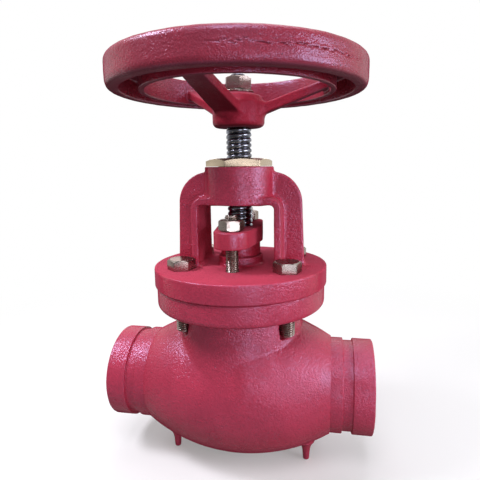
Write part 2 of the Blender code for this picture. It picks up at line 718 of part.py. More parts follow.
def make_bonnet_bolts():
    seat = bonnet_top + CONTACT_GAP
    for name, (x, y) in bolt_places.items():
        head = hexagon(f"bonnet_bolt_{name}", BOLT_HEAD_ACROSS_FLATS, seat, seat + BOLT_HEAD_HEIGHT,
                       radians(BOLT_TURNS[name]), chamfer=STEM_CHAMFER)
        shank = bar("shank", BOLT_RADIUS, seat - BOLT_LENGTH, seat + BOLT_HEAD_HEIGHT / 2,
                    chamfer=STEM_CHAMFER)
        bolt = join(head, shank)
        finish(bolt, "zinc").location = (x, y, 0)


def make_yoke_bush():
    head = hexagon("yoke_bush", BUSH_ACROSS_FLATS, bush_head_foot, bush_top, BUSH_TURN,
                   chamfer=BUSH_CHAMFER)
    sleeve = bar("bush_sleeve", bush_radius, boss_underside, bush_head_foot + BUSH_HEAD_HEIGHT / 2,
                 RING_STEPS)
    bore = bar("bush_bore", stem_bore_radius, boss_underside - WALL, bush_top + WALL, RING_STEPS)
    return finish(cut(join(head, sleeve), bore), "brass")


def make_stem():
    """One turned bar: the collar in the disc, the shank, the wheel's square and the end for its nut."""
    tip = stem_shoulder + HUB_HEIGHT
    end = tip + STEM_END_RISE
    rounding = STEM_TIP_ROUNDING
    profile = [(0, stem_shoulder), (STEM_RADIUS - STEM_CHAMFER, stem_shoulder),
               (STEM_RADIUS, stem_shoulder - STEM_CHAMFER), (STEM_RADIUS, stem_collar_top),
               (STEM_COLLAR_RADIUS, stem_collar_top)]
    profile += arc(STEM_COLLAR_RADIUS - rounding, stem_foot + rounding, rounding, 0, -pi / 2)
    profile.append((0, stem_foot))
    stem = settle(turned("stem", profile))
    half = STEM_SQUARE / 2
    outline = [(half, half), (-half, half), (-half, -half), (half, -half)]
    square_foot = stem_shoulder - WALL
    square = plate("square", outline, tip - square_foot)
    square.data.transform(Matrix.Translation((0, 0, (square_foot + tip) / 2)))
    threaded_end = bar("threaded_end", STEM_END_RADIUS, tip - WALL, end, chamfer=STEM_CHAMFER)
    return finish(join(stem, square, threaded_end), "steel")


def make_disc():
    """The disc: a plate with a groove for its facing, and a boss bored for the stem's collar."""
    groove_mean = (SEAT_BORE_RADIUS + seat_ring_radius + SEAT_RING_LIP) / 2 - SEAT_RING_LIP / 2
    facing_inner = groove_mean - FACING_WIDTH / 2
    facing_outer = groove_mean + FACING_WIDTH / 2
    facing_top = facing_underside + FACING_THICKNESS
    socket = COVER_SLEEVE_RADIUS + THREAD_CLEARANCE
    plate_top = disc_underside + DISC_THICKNESS
    profile = [(0, socket_floor), (socket, socket_floor), (socket, disc_boss_top),
               (DISC_BOSS_RADIUS, disc_boss_top)]
    fillet = BOX_FILLET
    profile += arc(DISC_BOSS_RADIUS + fillet, plate_top + fillet, fillet, pi, 1.5 * pi)
    profile += [(DISC_RADIUS - STEM_CHAMFER, plate_top), (DISC_RADIUS, plate_top - STEM_CHAMFER),
                (DISC_RADIUS, disc_underside), (facing_outer + CONTACT_GAP, disc_underside),
                (facing_outer + CONTACT_GAP, facing_top + CONTACT_GAP),
                (facing_inner - CONTACT_GAP, facing_top + CONTACT_GAP),
                (facing_inner - CONTACT_GAP, disc_underside), (0, disc_underside)]
    finish(settle(turned("disc", profile)), "iron")
    finish(ring("disc_facing", facing_inner, facing_outer, facing_underside, facing_top), "rubber")


def make_disc_cover():
    """The cover screwed into the disc. Its cone closes on the backseat when the valve is wide open."""
    sleeve_foot = stem_collar_top + CONTACT_GAP
    hex_top = cover_hex_foot + COVER_HEX_HEIGHT
    head = hexagon("disc_cover", COVER_ACROSS_FLATS, cover_hex_foot, hex_top)
    lip = backseat_radius + BACKSEAT_LIP
    profile = [(0, cover_top), (stem_bore_radius + BACKSEAT_WALL / 2, cover_top),
               (lip - BACKSEAT_WALL / 2, hex_top), (COVER_SLEEVE_RADIUS, hex_top - COVER_HEX_HEIGHT / 2),
               (COVER_SLEEVE_RADIUS, sleeve_foot), (0, sleeve_foot)]
    cone = settle(turned("cone", profile))
    bore = bar("cover_bore", stem_bore_radius, sleeve_foot - WALL, cover_top + WALL, RING_STEPS)
    return finish(cut(join(head, cone), bore), "steel")


def rim_profile():
    """The rim's section: a channel that opens downwards, with rounded shoulders."""
    top = rim_foot + RIM_HEIGHT
    big = RIM_ROUNDING
    lip = RIM_LIP_ROUNDING
    outer_inside = WHEEL_RADIUS - RIM_OUTER_WALL
    inner_outside = rim_inner_radius + RIM_INNER_WALL
    ceiling = top - RIM_CROWN
    profile = arc(WHEEL_RADIUS - big, top - big, big, pi / 2, 0)
    profile += arc(WHEEL_RADIUS - big, rim_foot + big, big, 0, -pi / 2)
    profile += [(outer_inside + lip, rim_foot), (outer_inside, rim_foot + lip),
                (outer_inside, ceiling - lip), (outer_inside - lip, ceiling),
                (inner_outside + lip, ceiling), (inner_outside, ceiling - lip),
                (inner_outside, rim_foot + lip), (inner_outside - lip, rim_foot),
                (rim_inner_radius + lip, rim_foot), (rim_inner_radius, rim_foot + lip)]
    inner = RIM_INNER_ROUNDING
    profile += arc(rim_inner_radius + inner, top - inner, inner, pi, pi / 2)
    return profile


def spoke():
    """One spoke along +X: a bar that narrows, tapers and rises from the hub to the rim."""
    root = HUB_TOP_RADIUS / 2
    tip = rim_inner_radius + RIM_INNER_WALL / 2
    root_foot = hub_foot + SPOKE_ROOT_RISE
    tip_foot = rim_foot + SPOKE_TIP_RISE
    outline = [(root, root_foot), (tip, tip_foot), (tip, tip_foot + SPOKE_TIP_DEPTH),
               (root, root_foot + SPOKE_ROOT_DEPTH)]
    arm = plate("spoke", outline, SPOKE_WIDTH, SPOKE_EDGE, upright=True)
    for vertex in arm.data.vertices:
        share = (vertex.co.x - root) / (tip - root)
        vertex.co.y *= 1 - share * (1 - SPOKE_TIP_WIDTH / SPOKE_WIDTH)
    return arm


def make_handwheel():
    rim = settle(turned("handwheel", rim_profile(), WHEEL_STEPS, ring=True))
    profile = [(0, hub_top), (HUB_TOP_RADIUS, hub_top), (HUB_SHOULDER_RADIUS, hub_top - HUB_SHOULDER_DROP),
               (HUB_FOOT_RADIUS, hub_foot + HUB_SIDE_HEIGHT)]
    profile += arc(HUB_FOOT_RADIUS - HUB_ROUNDING, hub_foot + HUB_ROUNDING, HUB_ROUNDING, 0, -pi / 2)
    profile.append((0, hub_foot))
    hub = settle(turned("hub", profile, NECK_STEPS))
    for i in range(SPOKES):
        arm = spoke()
        arm.data.transform(Matrix.Rotation(SPOKE_ANGLE + 2 * pi * i / SPOKES, 4, "Z"))
        hub = join(hub, arm, solver="MANIFOLD")
    half = STEM_SQUARE / 2 + CONTACT_GAP
    outline = [(half, half), (-half, half), (-half, -half), (half, -half)]
    square = plate("square_hole", outline, 2 * HUB_HEIGHT)
    square.data.transform(Matrix.Translation((0, 0, (hub_foot + hub_top) / 2)))
    return finish(cut(join(rim, hub), square), "red paint", (0, 0, hub_foot))


def make_wheel_nut():
    washer_foot = hub_top + CONTACT_GAP
    washer_top = washer_foot + WASHER_THICKNESS
    bore = STEM_END_RADIUS + THREAD_CLEARANCE
    finish(ring("wheel_washer", bore, WASHER_RADIUS, washer_foot, washer_top, SHANK_STEPS), "zinc")
    foot = washer_top + CONTACT_GAP
    nut = hexagon("wheel_nut", WHEEL_NUT_ACROSS_FLATS, foot, foot + WHEEL_NUT_HEIGHT, WHEEL_NUT_TURN,
                  chamfer=STEM_CHAMFER)
    hole = bar("nut_bore", bore, foot - WALL, foot + WHEEL_NUT_HEIGHT + WALL)
    finish(cut(nut, hole), "zinc")


clear_scene()
parts = make_collection("globe_valve")
make_body()
make_seat_ring()
make_gasket()
make_bonnet()
make_backseat_bush()
packing_head = make_packing()
gland_head = make_gland(packing_head)
make_gland_studs(gland_head)
make_bonnet_bolts()
make_yoke_bush()
make_disc()
make_disc_cover()
make_stem()
make_handwheel()
make_wheel_nut()
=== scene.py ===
"""Globe valve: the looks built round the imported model.

All sizes are metres. +X runs along the pipe, +Z runs up the stem and the floor is at nought.
"""

from math import asin, atan2, ceil, cos, degrees, exp, pi, radians, sin, sqrt

import bmesh
import bpy
import numpy as np
from mathutils import Matrix, Vector, noise


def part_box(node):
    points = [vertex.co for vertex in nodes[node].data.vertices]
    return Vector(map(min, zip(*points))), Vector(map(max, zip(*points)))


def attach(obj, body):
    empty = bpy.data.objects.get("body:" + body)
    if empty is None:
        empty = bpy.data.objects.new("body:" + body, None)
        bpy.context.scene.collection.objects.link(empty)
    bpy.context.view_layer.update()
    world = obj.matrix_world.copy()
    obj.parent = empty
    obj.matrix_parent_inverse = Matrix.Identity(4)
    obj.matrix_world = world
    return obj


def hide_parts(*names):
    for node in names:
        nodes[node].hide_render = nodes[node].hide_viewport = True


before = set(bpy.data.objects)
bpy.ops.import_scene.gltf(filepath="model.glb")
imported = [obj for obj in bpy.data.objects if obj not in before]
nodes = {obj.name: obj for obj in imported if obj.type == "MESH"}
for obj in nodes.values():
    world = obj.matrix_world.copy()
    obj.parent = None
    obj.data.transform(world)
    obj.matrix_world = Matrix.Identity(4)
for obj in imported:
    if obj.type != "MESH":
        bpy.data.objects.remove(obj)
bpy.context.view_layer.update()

# Gaps, and how far a cutter reaches past what it cuts
CONTACT_GAP = 0.0003
THREAD_GAP = 0.0003
HOLE_GAP = 0.00075
PAST = 0.01

# Pipe ends and globe
PIPE_HEIGHT = 0.0609
PIPE_END = 0.108
PIPE_RADIUS = 0.03805
BORE_RADIUS = 0.0315
COLLAR_LENGTH = 0.01588
GROOVE_WIDTH = 0.00795
GROOVE_RADIUS = 0.03613
GLOBE_RADIUS = 0.0595
GLOBE_REACH = 0.07437
SHOULDER_RADIUS = 0.03905
WALL = 0.008
SEAT_WALL_HALF = 0.0045
FOOT_X = 0.056
FOOT_Y = 0.016

# The globe's swell on its outlet side: its height, where it rises and fades along X, and its angle
SWELL = 0.0054
SWELL_START, SWELL_RISE = -0.008, 0.022
SWELL_END, SWELL_FADE = 0.012, 0.036
SWELL_ANGLE, SWELL_SPREAD = 42, 32

# Neck, flanges and stuffing box
NECK_TOP_RADIUS = 0.0470
NECK_TAPER = 0.19
NECK_FOOT_RISE = 0.0110
NECK_BORE_RADIUS = 0.0363
NECK_BLEND = 0.0010
NECK_LAP = 0.006
BODY_FLANGE_RADIUS = 0.0684
BODY_FLANGE_THICKNESS = 0.0172
BONNET_FLANGE_RADIUS = 0.0699
BONNET_FLANGE_THICKNESS = 0.0150
TONGUE_RADIUS = 0.0427
BOX_RADIUS = 0.0180
BOX_RISE = 0.0069

# Yoke and its boss
WINDOW_HALF = 0.0326
WINDOW_ROUNDING = 0.0062
ARM_HALF = 0.0027
ARM_HALF_WIDTH = 0.020
WEB_HALF = 0.004
ARCH_HALF = 0.050
ARCH_LEAN = 0.002
ARCH_ROUNDING = 0.025
CAST_EDGE = 0.0012
YOKE_REACH = 0.066
BOSS_RADIUS = 0.0274
BOSS_BORE = 0.0172
BOSS_HEIGHT = 0.0290

# Bolts, studs and gland
BOLT_CIRCLE = 0.0502
BOLT_ANGLE = radians(35)
BOLT_X = BOLT_CIRCLE * cos(BOLT_ANGLE)
BOLT_Y = BOLT_CIRCLE * sin(BOLT_ANGLE)
BOLT_RADIUS = 0.006
BOLT_LENGTH = 0.050
BOLT_FLATS = 0.019
BOLT_HEAD_HEIGHT = 0.0078
BOLT_PITCH = 0.00175
BOLT_THREAD_DEPTH = 0.00085
RELIEF_RADIUS = 0.0067
RELIEF_SPARE = 0.0025
STUD_Y = 0.032
STUD_RADIUS = 0.005
STUD_FLATS = 0.017
STUD_PITCH = 0.0015
STUD_THREAD_DEPTH = 0.00090
STUD_HOLE_DEPTH = 0.0123
GLAND_LOBE_RADIUS = 0.0135
GLAND_MIDDLE_RADIUS = 0.0182
GLAND_FLANGE_THICKNESS = 0.0127

# Stem and bush
STEM_RADIUS = 0.0100
STEM_BORE = 0.01035
STEM_THREAD_FOOT = 0.1840
STEM_PITCH = 0.0040
STEM_THREAD_DEPTH = 0.0012
STEM_COLLAR_RADIUS = 0.0130
STEM_COLLAR_HEIGHT = 0.0085
STEM_SQUARE_HALF = 0.0070
WHEEL_SQUARE_HALF = 0.0073
BUSH_FLATS = 0.046
BUSH_SLEEVE_RADIUS = 0.01685

# Handwheel. A spoke's foot, depth and half width are given at the hub and at the rim.
WHEEL_RADIUS = 0.0974
RIM_MIDDLE = 0.0724
RIM_RISE = 0.0256
RIM_CHANNEL_RADIUS = 0.0879
RIM_CEILING = 0.0062
HUB_RADIUS = 0.0202
HUB_HEIGHT = 0.0256
HUB_EDGE = 0.0015
SPOKE_ANGLE = radians(15)
SPOKE_START = 0.006
SPOKE_FOOT = (0.0046, 0.0307)
SPOKE_DEPTH = (0.0081, 0.0073)
SPOKE_HALF = (0.01125, 0.0080)

# The casting seam round the rim: its height, its waves as (how fine, how far), and its cut and ridge
SEAM_RISE = 0.0104
SEAM_WAVES = ((4.6, 0.0018), (17, 0.0014), (52, 0.0016), (130, 0.0009))
SEAM_MIDDLE, SEAM_SPREAD = 34, 36
SEAM_CUT_WIDTH, SEAM_CUT_DEPTH = 0.00034, 0.00080
SEAM_RIDGE_RISE, SEAM_RIDGE_WIDTH, SEAM_RIDGE_HEIGHT = 0.0010, 0.0009, 0.00030

# Heights, taken from the frame where a node gives them
flange_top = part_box("body")[1].z
flange_under = flange_top - BODY_FLANGE_THICKNESS
bonnet_foot = flange_top + CONTACT_GAP
bonnet_top = bonnet_foot + BONNET_FLANGE_THICKNESS
bolt_seat = bonnet_top + CONTACT_GAP
relief_foot = bolt_seat - BOLT_LENGTH - RELIEF_SPARE
box_top = bonnet_top + BOX_RISE
boss_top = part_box("bonnet")[1].z
boss_foot = boss_top - BOSS_HEIGHT
bush_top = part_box("yoke_bush")[1].z
hub_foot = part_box("handwheel")[0].z
hub_top = hub_foot + HUB_HEIGHT
rim_foot = hub_foot + RIM_RISE
rim_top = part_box("handwheel")[1].z

# Each bolt's place, and the turn of its head in degrees
BOLT_PLACES = {
    "right_front": (BOLT_X, -BOLT_Y, 14),
    "right_rear": (BOLT_X, BOLT_Y, 3),
    "left_rear": (-BOLT_X, BOLT_Y, 41),
    "left_front": (-BOLT_X, -BOLT_Y, 17),
}
BOLT_SPOTS = [(x, y) for x, y, _ in BOLT_PLACES.values()]
STUD_SPOTS = [(0, -STUD_Y), (0, STUD_Y)]


# Meshes

def add_object(name, data):
    item = bpy.data.objects.new(name, data)
    bpy.context.scene.collection.objects.link(item)
    return item


def finish_shape(name, shape):
    """Makes an object of a BMesh, with its faces pointing outwards."""
    bmesh.ops.recalc_face_normals(shape, faces=shape.faces)
    mesh = bpy.data.meshes.new(name)
    shape.to_mesh(mesh)
    shape.free()
    return add_object(name, mesh)


def rounded(corners, closed=False, bends=4):
    """A profile from (radius, height, rounding) corners, with each corner turned into a small curve."""
    points = []
    for i, (radius, height, rounding) in enumerate(corners):
        here = Vector((radius, height))
        if not rounding or (not closed and i in (0, len(corners) - 1)):
            points.append((radius, height))
            continue
        before = Vector(corners[i - 1][:2]) - here
        after = Vector(corners[(i + 1) % len(corners)][:2]) - here
        start = here + before.normalized() * min(rounding, before.length * 0.48)
        end = here + after.normalized() * min(rounding, after.length * 0.48)
        for k in range(bends + 1):
            t = k / bends
            points.append(tuple(start.lerp(here, t).lerp(here.lerp(end, t), t)))
    return points


def turned(name, profile, steps, ring=False):
    """A closed mesh: a (radius, height) profile turned about Z."""
    shape = bmesh.new()
    rows = []
    for radius, height in profile:
        if radius <= 0:
            rows.append([shape.verts.new((0, 0, height))])
        else:
            angles = [2 * pi * i / steps for i in range(steps)]
            rows.append([shape.verts.new((radius * cos(a), radius * sin(a), height)) for a in angles])
    following = rows[1:] + (rows[:1] if ring else [])
    for upper, lower in zip(rows, following):
        for i in range(steps):
            j = (i + 1) % steps
            corners = [upper[i % len(upper)], upper[j % len(upper)],
                       lower[j % len(lower)], lower[i % len(lower)]]
            corners = list(dict.fromkeys(corners))
            if len(corners) > 2:
                shape.faces.new(corners)
    return finish_shape(name, shape)


def about_pipe(item):
    """Turns a shape made about Z so that it lies about the pipe's axis."""
    item.data.transform(Matrix.Translation((0, 0, PIPE_HEIGHT)) @ Matrix.Rotation(pi / 2, 4, "Y"))
    return item


def bar(name, radius, foot, top, steps=96):
    return turned(name, [(0, top), (radius, top), (radius, foot), (0, foot)], steps)


def stacked(name, rings):
    """A closed mesh through rings of points, one above the other, each with as many points."""
    shape = bmesh.new()
    rows = [[shape.verts.new(point) for point in row] for row in rings]
    count = len(rows[0])
    for lower, upper in zip(rows, rows[1:]):
        for i in range(count):
            j = (i + 1) % count
            shape.faces.new((lower[i], lower[j], upper[j], upper[i]))
    shape.faces.new(rows[0][::-1])
    shape.faces.new(rows[-1])
    return finish_shape(name, shape)


def square_bar(name, half, foot, top):
    corners = [(half, half), (-half, half), (-half, -half), (half, -half)]
    return stacked(name, [[(x, y, z) for x, y in corners] for z in (foot, top)])


def settle(item):
    """Turns an object's modifiers into its plain mesh."""
    bpy.context.view_layer.update()
    evaluated = item.evaluated_get(bpy.context.evaluated_depsgraph_get())
    mesh = bpy.data.meshes.new_from_object(evaluated)
    item.modifiers.clear()
    item.data = mesh
    return item


def combine(target, operation, *tools):
    """Joins, cuts or intersects closed meshes. The tools are used up."""
    for tool in tools:
        boolean = target.modifiers.new(operation.title(), "BOOLEAN")
        boolean.operation = operation
        boolean.solver = "MANIFOLD"
        boolean.object = tool
        settle(target)
        bpy.data.objects.remove(tool, do_unlink=True)
    if not target.data.polygons:
        raise RuntimeError(f"{target.name} came out empty")
    return target


def join(target, *tools):
    return combine(target, "UNION", *tools)


def cut(target, *tools):
    return combine(target, "DIFFERENCE", *tools)


def copies(item, places):
    """One object that holds the mesh at each place. The places lie apart."""
    shape = bmesh.new()
    for x, y in places:
        mesh = item.data.copy()
        mesh.transform(Matrix.Translation((x, y, 0)))
        shape.from_mesh(mesh)
        bpy.data.meshes.remove(mesh)
    shape.to_mesh(item.data)
    shape.free()
    return item


def hexagon(name, across_flats, foot, top, turn, chamfer, both=False):
    """A hexagon with softened edges and a turned chamfer on top, or on both ends.

    One of its corners lies at the turn's angle.
    """
    corner = across_flats / sqrt(3)
    shape = bmesh.new()
    matrix = Matrix.Translation((0, 0, (foot + top) / 2)) @ Matrix.Rotation(turn - pi / 2, 4, "Z")
    bmesh.ops.create_cone(shape, cap_ends=True, segments=6, radius1=corner, radius2=corner,
                          depth=top - foot, matrix=matrix)
    upright = [edge for edge in shape.edges if abs(edge.verts[0].co.z - edge.verts[1].co.z) > 0.0001]
    bmesh.ops.bevel(shape, geom=upright, offset=0.0003, segments=3, profile=0.5, affect="EDGES")
    item = finish_shape(name, shape)
    flat = across_flats * 0.475
    outer = corner + 0.002
    drop = chamfer / (corner - flat) * (outer - flat)
    profile = [(0, top, 0), (flat, top, 0.0004), (outer, top - drop, 0)]
    if both:
        profile += [(outer, foot + drop, 0), (flat, foot, 0.0004), (0, foot, 0)]
    else:
        profile += [(outer, foot - 0.001, 0), (0, foot - 0.001, 0)]
    return combine(item, "INTERSECT", turned(name + "_envelope", rounded(profile, bends=3), 144))


# Signed distances, for castings whose forms melt into each other

def smooth_least(a, b, blend):
    """The lesser of two distances, with a fillet of about this radius where they meet."""
    h = np.maximum(blend - np.abs(a - b), 0) / blend
    return np.minimum(a, b) - h * h * blend / 4


def smooth_most(a, b, blend):
    return -smooth_least(-a, -b, blend)


def polygon_distance(corners, u, v):
    """Signed distance to a closed outline in a plane, negative inside."""
    nearest = np.full(u.shape, 1e9)
    inside = np.zeros(u.shape, bool)
    for (x0, y0), (x1, y1) in zip(corners, corners[1:] + corners[:1]):
        ex, ey = x1 - x0, y1 - y0
        wx, wy = u - x0, v - y0
        share = np.clip((wx * ex + wy * ey) / (ex * ex + ey * ey), 0, 1)
        nearest = np.minimum(nearest, (wx - ex * share) ** 2 + (wy - ey * share) ** 2)
        if ey:
            inside ^= ((y0 > v) != (y1 > v)) & (u < ex * wy / ey + x0)
    return np.sqrt(nearest) * np.where(inside, -1, 1)


def within_both(a, b, rounding):
    """Signed distance to what lies within two distances at once, with a rounded edge."""
    a, b = a + rounding, b + rounding
    return np.minimum(np.maximum(a, b), 0) + np.hypot(np.maximum(a, 0), np.maximum(b, 0)) - rounding


def rounded_box(u, v, half_width, top, rounding):
    """Signed distance to a strip that runs up to a top with rounded corners."""
    return within_both(np.abs(u) - half_width, v - top, rounding)


def thick(flat, across, half, rounding):
    """Signed distance to a flat outline given a thickness, with rounded edges."""
    return within_both(flat, np.abs(across) - half, rounding)


def skin(name, field, low, high, step):
    """A closed mesh on the surface where a field of signed distances is nought."""
    axes = [low[i] + step * np.arange(int(ceil((high[i] - low[i]) / step)) + 1) for i in range(3)]
    value = field(*np.meshgrid(*axes, indexing="ij"))
    for axis in range(3):
        for end in (0, -1):
            wall = (slice(None),) * axis + (end,)
            value[wall] = np.maximum(value[wall], step)
    cells = tuple(n - 1 for n in value.shape)
    total = np.zeros(cells + (3,))
    number = np.zeros(cells)
    crossings = []
    for axis in range(3):
        others = [i for i in range(3) if i != axis]
        first = [slice(None)] * 3
        first[axis] = slice(None, -1)
        second = [slice(None)] * 3
        second[axis] = slice(1, None)
        a, b = value[tuple(first)], value[tuple(second)]
        crossed = (a < 0) != (b < 0)
        share = np.where(crossed, a / np.where(crossed, a - b, 1), 0)
        crossings.append((others, crossed, a < 0))
        for du in (0, 1):
            for dv in (0, 1):
                part = [slice(None)] * 3
                part[others[0]] = slice(du, du + cells[others[0]])
                part[others[1]] = slice(dv, dv + cells[others[1]])
                here = crossed[tuple(part)]
                number += here
                total[..., axis] += np.where(here, share[tuple(part)], 0)
                total[..., others[0]] += here * du
                total[..., others[1]] += here * dv
    used = number > 0
    index = np.full(cells, -1)
    index[used] = np.arange(used.sum())
    places = np.argwhere(used) + total[used] / number[used][:, None]
    points = np.array(low) + places * step
    for _ in range(2):
        centre = field(*points.T)
        slope = np.stack([field(*(points + np.eye(3)[i] * step * 0.2).T) - centre for i in range(3)], 1)
        slope /= step * 0.2
        move = centre[:, None] * slope / np.maximum((slope ** 2).sum(1), 0.2)[:, None]
        points -= np.clip(move, -step * 0.4, step * 0.4)
    faces = []
    for axis, (others, crossed, entering) in enumerate(crossings):
        inner = [slice(None)] * 3
        inner[others[0]] = slice(1, -1)
        inner[others[1]] = slice(1, -1)
        spots = np.argwhere(crossed[tuple(inner)])
        flags = entering[tuple(inner)][tuple(spots.T)]
        around = []
        for du, dv in ((0, 0), (1, 0), (1, 1), (0, 1)):
            shift = np.zeros(3, int)
            shift[others[0]], shift[others[1]] = du, dv
            around.append(index[tuple((spots + shift).T)])
        around = np.stack(around, 1)
        if axis == 1:
            flags = ~flags
        faces.append(np.where(flags[:, None], around, around[:, ::-1]))
    mesh = bpy.data.meshes.new(name)
    mesh.from_pydata(points.tolist(), [], np.concatenate(faces).tolist())
    mesh.validate()
    return add_object(name, mesh)


def roughen(item, size, depth, seed=0.0, keep=None):
    """Gives a casting its slight unevenness. Points for which keep() is true stay."""
    mesh = item.data
    offset = Vector((seed, seed * 2.3, -seed))
    normals = [Vector(n.vector) for n in mesh.vertex_normals]
    for vertex, normal in zip(mesh.vertices, normals):
        if keep is None or not keep(vertex.co):
            place = vertex.co / size + offset
            vertex.co += normal * depth * (noise.noise(place) + 0.5 * noise.noise(place * 2.1))


def piece(item, material, body, slot, *replaced, sharp=30):
    """Shades a finished mesh, gives it its material and sets it on its body."""
    item.data.name = item.name
    item.data.shade_smooth()
    item.data.set_sharp_from_angle(angle=radians(sharp))
    item.data.materials.clear()
    item.data.materials.append(material)
    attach(item, body)
    if replaced:
        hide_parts(*replaced)


# Camera, fitted to the pipe's ends, the flanges and the wheel

# The photo's width and how far its middle is off, in pixels
PHOTO_WIDTH = 480
PHOTO_SHIFT = (-15.30, 1.43)
LENS = 31.19
SENSOR_WIDTH = 36
CAMERA_PLACE = (0.06962, -0.32909, 0.17996 + PIPE_HEIGHT)
CAMERA_FORWARD = (-0.1692, 0.9695, -0.1773)
CAMERA_RIGHT = (0.9854, 0.1699, -0.0109)


def make_camera():
    forward = Vector(CAMERA_FORWARD).normalized()
    right = Vector(CAMERA_RIGHT)
    right = (right - right.dot(forward) * forward).normalized()
    up = right.cross(forward)
    data = bpy.data.cameras.new("camera")
    data.sensor_width = SENSOR_WIDTH
    data.lens = LENS
    data.shift_x, data.shift_y = (shift / PHOTO_WIDTH for shift in PHOTO_SHIFT)
    data.clip_start = 0.01
    camera = add_object("camera", data)
    place = Matrix((right, up, -forward)).transposed().to_4x4()
    place.translation = Vector(CAMERA_PLACE)
    camera.matrix_world = place
    bpy.context.scene.camera = camera


# Nodes

def feed(tree, socket, value):
    """Links a socket to another socket, or sets it to a plain value."""
    if isinstance(value, bpy.types.NodeSocket):
        tree.links.new(value, socket)
    else:
        socket.default_value = value


def add_node(tree, kind, **values):
    """Adds a node. Values name its settings or its sockets, with _ for a space, or i and a number."""
    made = tree.nodes.new(kind if kind.startswith("GeometryNode") else "ShaderNode" + kind)
    for name, value in values.items():
        if hasattr(made, name):
            setattr(made, name, value)
        else:
            feed(tree, made.inputs[int(name[1:]) if name[1:].isdigit() else name.replace("_", " ")], value)
    return made


def math(tree, operation, a, b=0.0, c=0.0, clamp=False):
    return add_node(tree, "Math", operation=operation, use_clamp=clamp, i0=a, i1=b, i2=c).outputs[0]


def spread(tree, value, low, high, to_low=0.0, to_high=1.0):
    """Maps a value from one range to another, smoothly and held at the ends."""
    return add_node(tree, "MapRange", interpolation_type="SMOOTHSTEP", Value=value, From_Min=low,
                    From_Max=high, To_Min=to_low, To_Max=to_high).outputs["Result"]


def blend(tree, share, a, b):
    """Mixes two colours, each of them a socket or plain numbers."""
    a, b = (tone if isinstance(tone, bpy.types.NodeSocket) else (*tone, 1) for tone in (a, b))
    return add_node(tree, "Mix", data_type="RGBA", i0=share, i6=a, i7=b).outputs[2]


def cloudy(tree, where, scale, detail, roughness=0.5):
    return add_node(tree, "TexNoise", Vector=where, Scale=scale, Detail=detail,
                    Roughness=roughness).outputs["Fac"]


# Materials

def new_group(name, inputs, outputs):
    """A shader group with number or vector inputs, and number or colour outputs."""
    tree = bpy.data.node_groups.new(name, "ShaderNodeTree")
    for label, value in inputs.items():
        kind = "NodeSocketVector" if value is None else "NodeSocketFloat"
        socket = tree.interface.new_socket(label, in_out="INPUT", socket_type=kind)
        if value is not None:
            socket.default_value = value
    for label, kind in outputs.items():
        tree.interface.new_socket(label, in_out="OUTPUT", socket_type=kind)
    source = tree.nodes.new("NodeGroupInput").outputs
    sink = tree.nodes.new("NodeGroupOutput").inputs
    return tree, source, sink


def cast_grain():
    """The pebbled skin of a sand casting under paint: its height, its mottling and its small pits."""
    tree, source, sink = new_group(
        "cast_grain", {"Vector": None, "Pebble Size": 0.0016, "Pits": 0.3},
        {"Height": "NodeSocketFloat", "Mottle": "NodeSocketFloat", "Pit": "NodeSocketFloat"})
    where = source["Vector"]
    scale = math(tree, "DIVIDE", 1.0, source["Pebble Size"])
    pebbles = add_node(tree, "TexVoronoi", feature="SMOOTH_F1", Vector=where, Scale=scale,
                       Smoothness=0.6).outputs["Distance"]
    lumps = cloudy(tree, where, math(tree, "MULTIPLY", scale, 0.55), 3.0, 0.55)
    fine = cloudy(tree, where, math(tree, "MULTIPLY", scale, 2.2), 2.0)
    broad = cloudy(tree, where, 34.0, 4.0, 0.6)
    height = math(tree, "MULTIPLY_ADD", lumps, 0.9, math(tree, "MULTIPLY", pebbles, -0.45))
    height = math(tree, "MULTIPLY_ADD", fine, 0.22, height)
    strong = spread(tree, broad, 0.36, 0.64, 0.55, 1.0)
    height = math(tree, "MULTIPLY", height, strong)
    cells = add_node(tree, "TexVoronoi", Vector=where, Scale=230.0, Randomness=1.0)
    hole = spread(tree, cells.outputs["Distance"], 0.05, 0.13, 1.0, 0.0)
    chosen = spread(tree, cells.outputs["Color"], 0.80, 0.84)
    pit = math(tree, "MULTIPLY", math(tree, "MULTIPLY", hole, chosen), source["Pits"])
    tree.links.new(math(tree, "SUBTRACT", height, pit), sink["Height"])
    tree.links.new(broad, sink["Mottle"])
    tree.links.new(pit, sink["Pit"])
    return tree


def tool_marks():
    """Machined metal: fine lines round the axis, a light unevenness and stains."""
    tree, source, sink = new_group(
        "tool_marks", {"Vector": None, "Line Scale": 900.0, "Stain Scale": 120.0},
        {"Lines": "NodeSocketFloat", "Stain": "NodeSocketFloat"})
    stretch = add_node(tree, "Mapping", Vector=source["Vector"], Scale=(0.06, 0.06, 1.0))
    tree.links.new(cloudy(tree, stretch.outputs[0], source["Line Scale"], 3.0), sink["Lines"])
    tree.links.new(cloudy(tree, source["Vector"], source["Stain Scale"], 5.0, 0.65), sink["Stain"])
    return tree


def new_material(name, **values):
    """A material with a Principled shader. Values are constants set on the shader's own sockets."""
    made = bpy.data.materials.new(name)
    made.use_nodes = True
    tree = made.node_tree
    shader = tree.nodes["Principled BSDF"]
    for label, value in values.items():
        shader.inputs[label.replace("_", " ")].default_value = value
    where = tree.nodes.new("ShaderNodeTexCoord").outputs["Object"]
    return made, tree, shader, where


def use_group(tree, group, **values):
    return add_node(tree, "Group", node_tree=group, **values).outputs


def set_bump(tree, shader, height, strength, distance):
    bump = add_node(tree, "Bump", Strength=strength, Distance=distance, Height=height)
    tree.links.new(bump.outputs[0], shader.inputs["Normal"])


def tinted(colour, share):
    """A colour made darker or lighter."""
    return tuple(min(1, channel * share) for channel in colour)


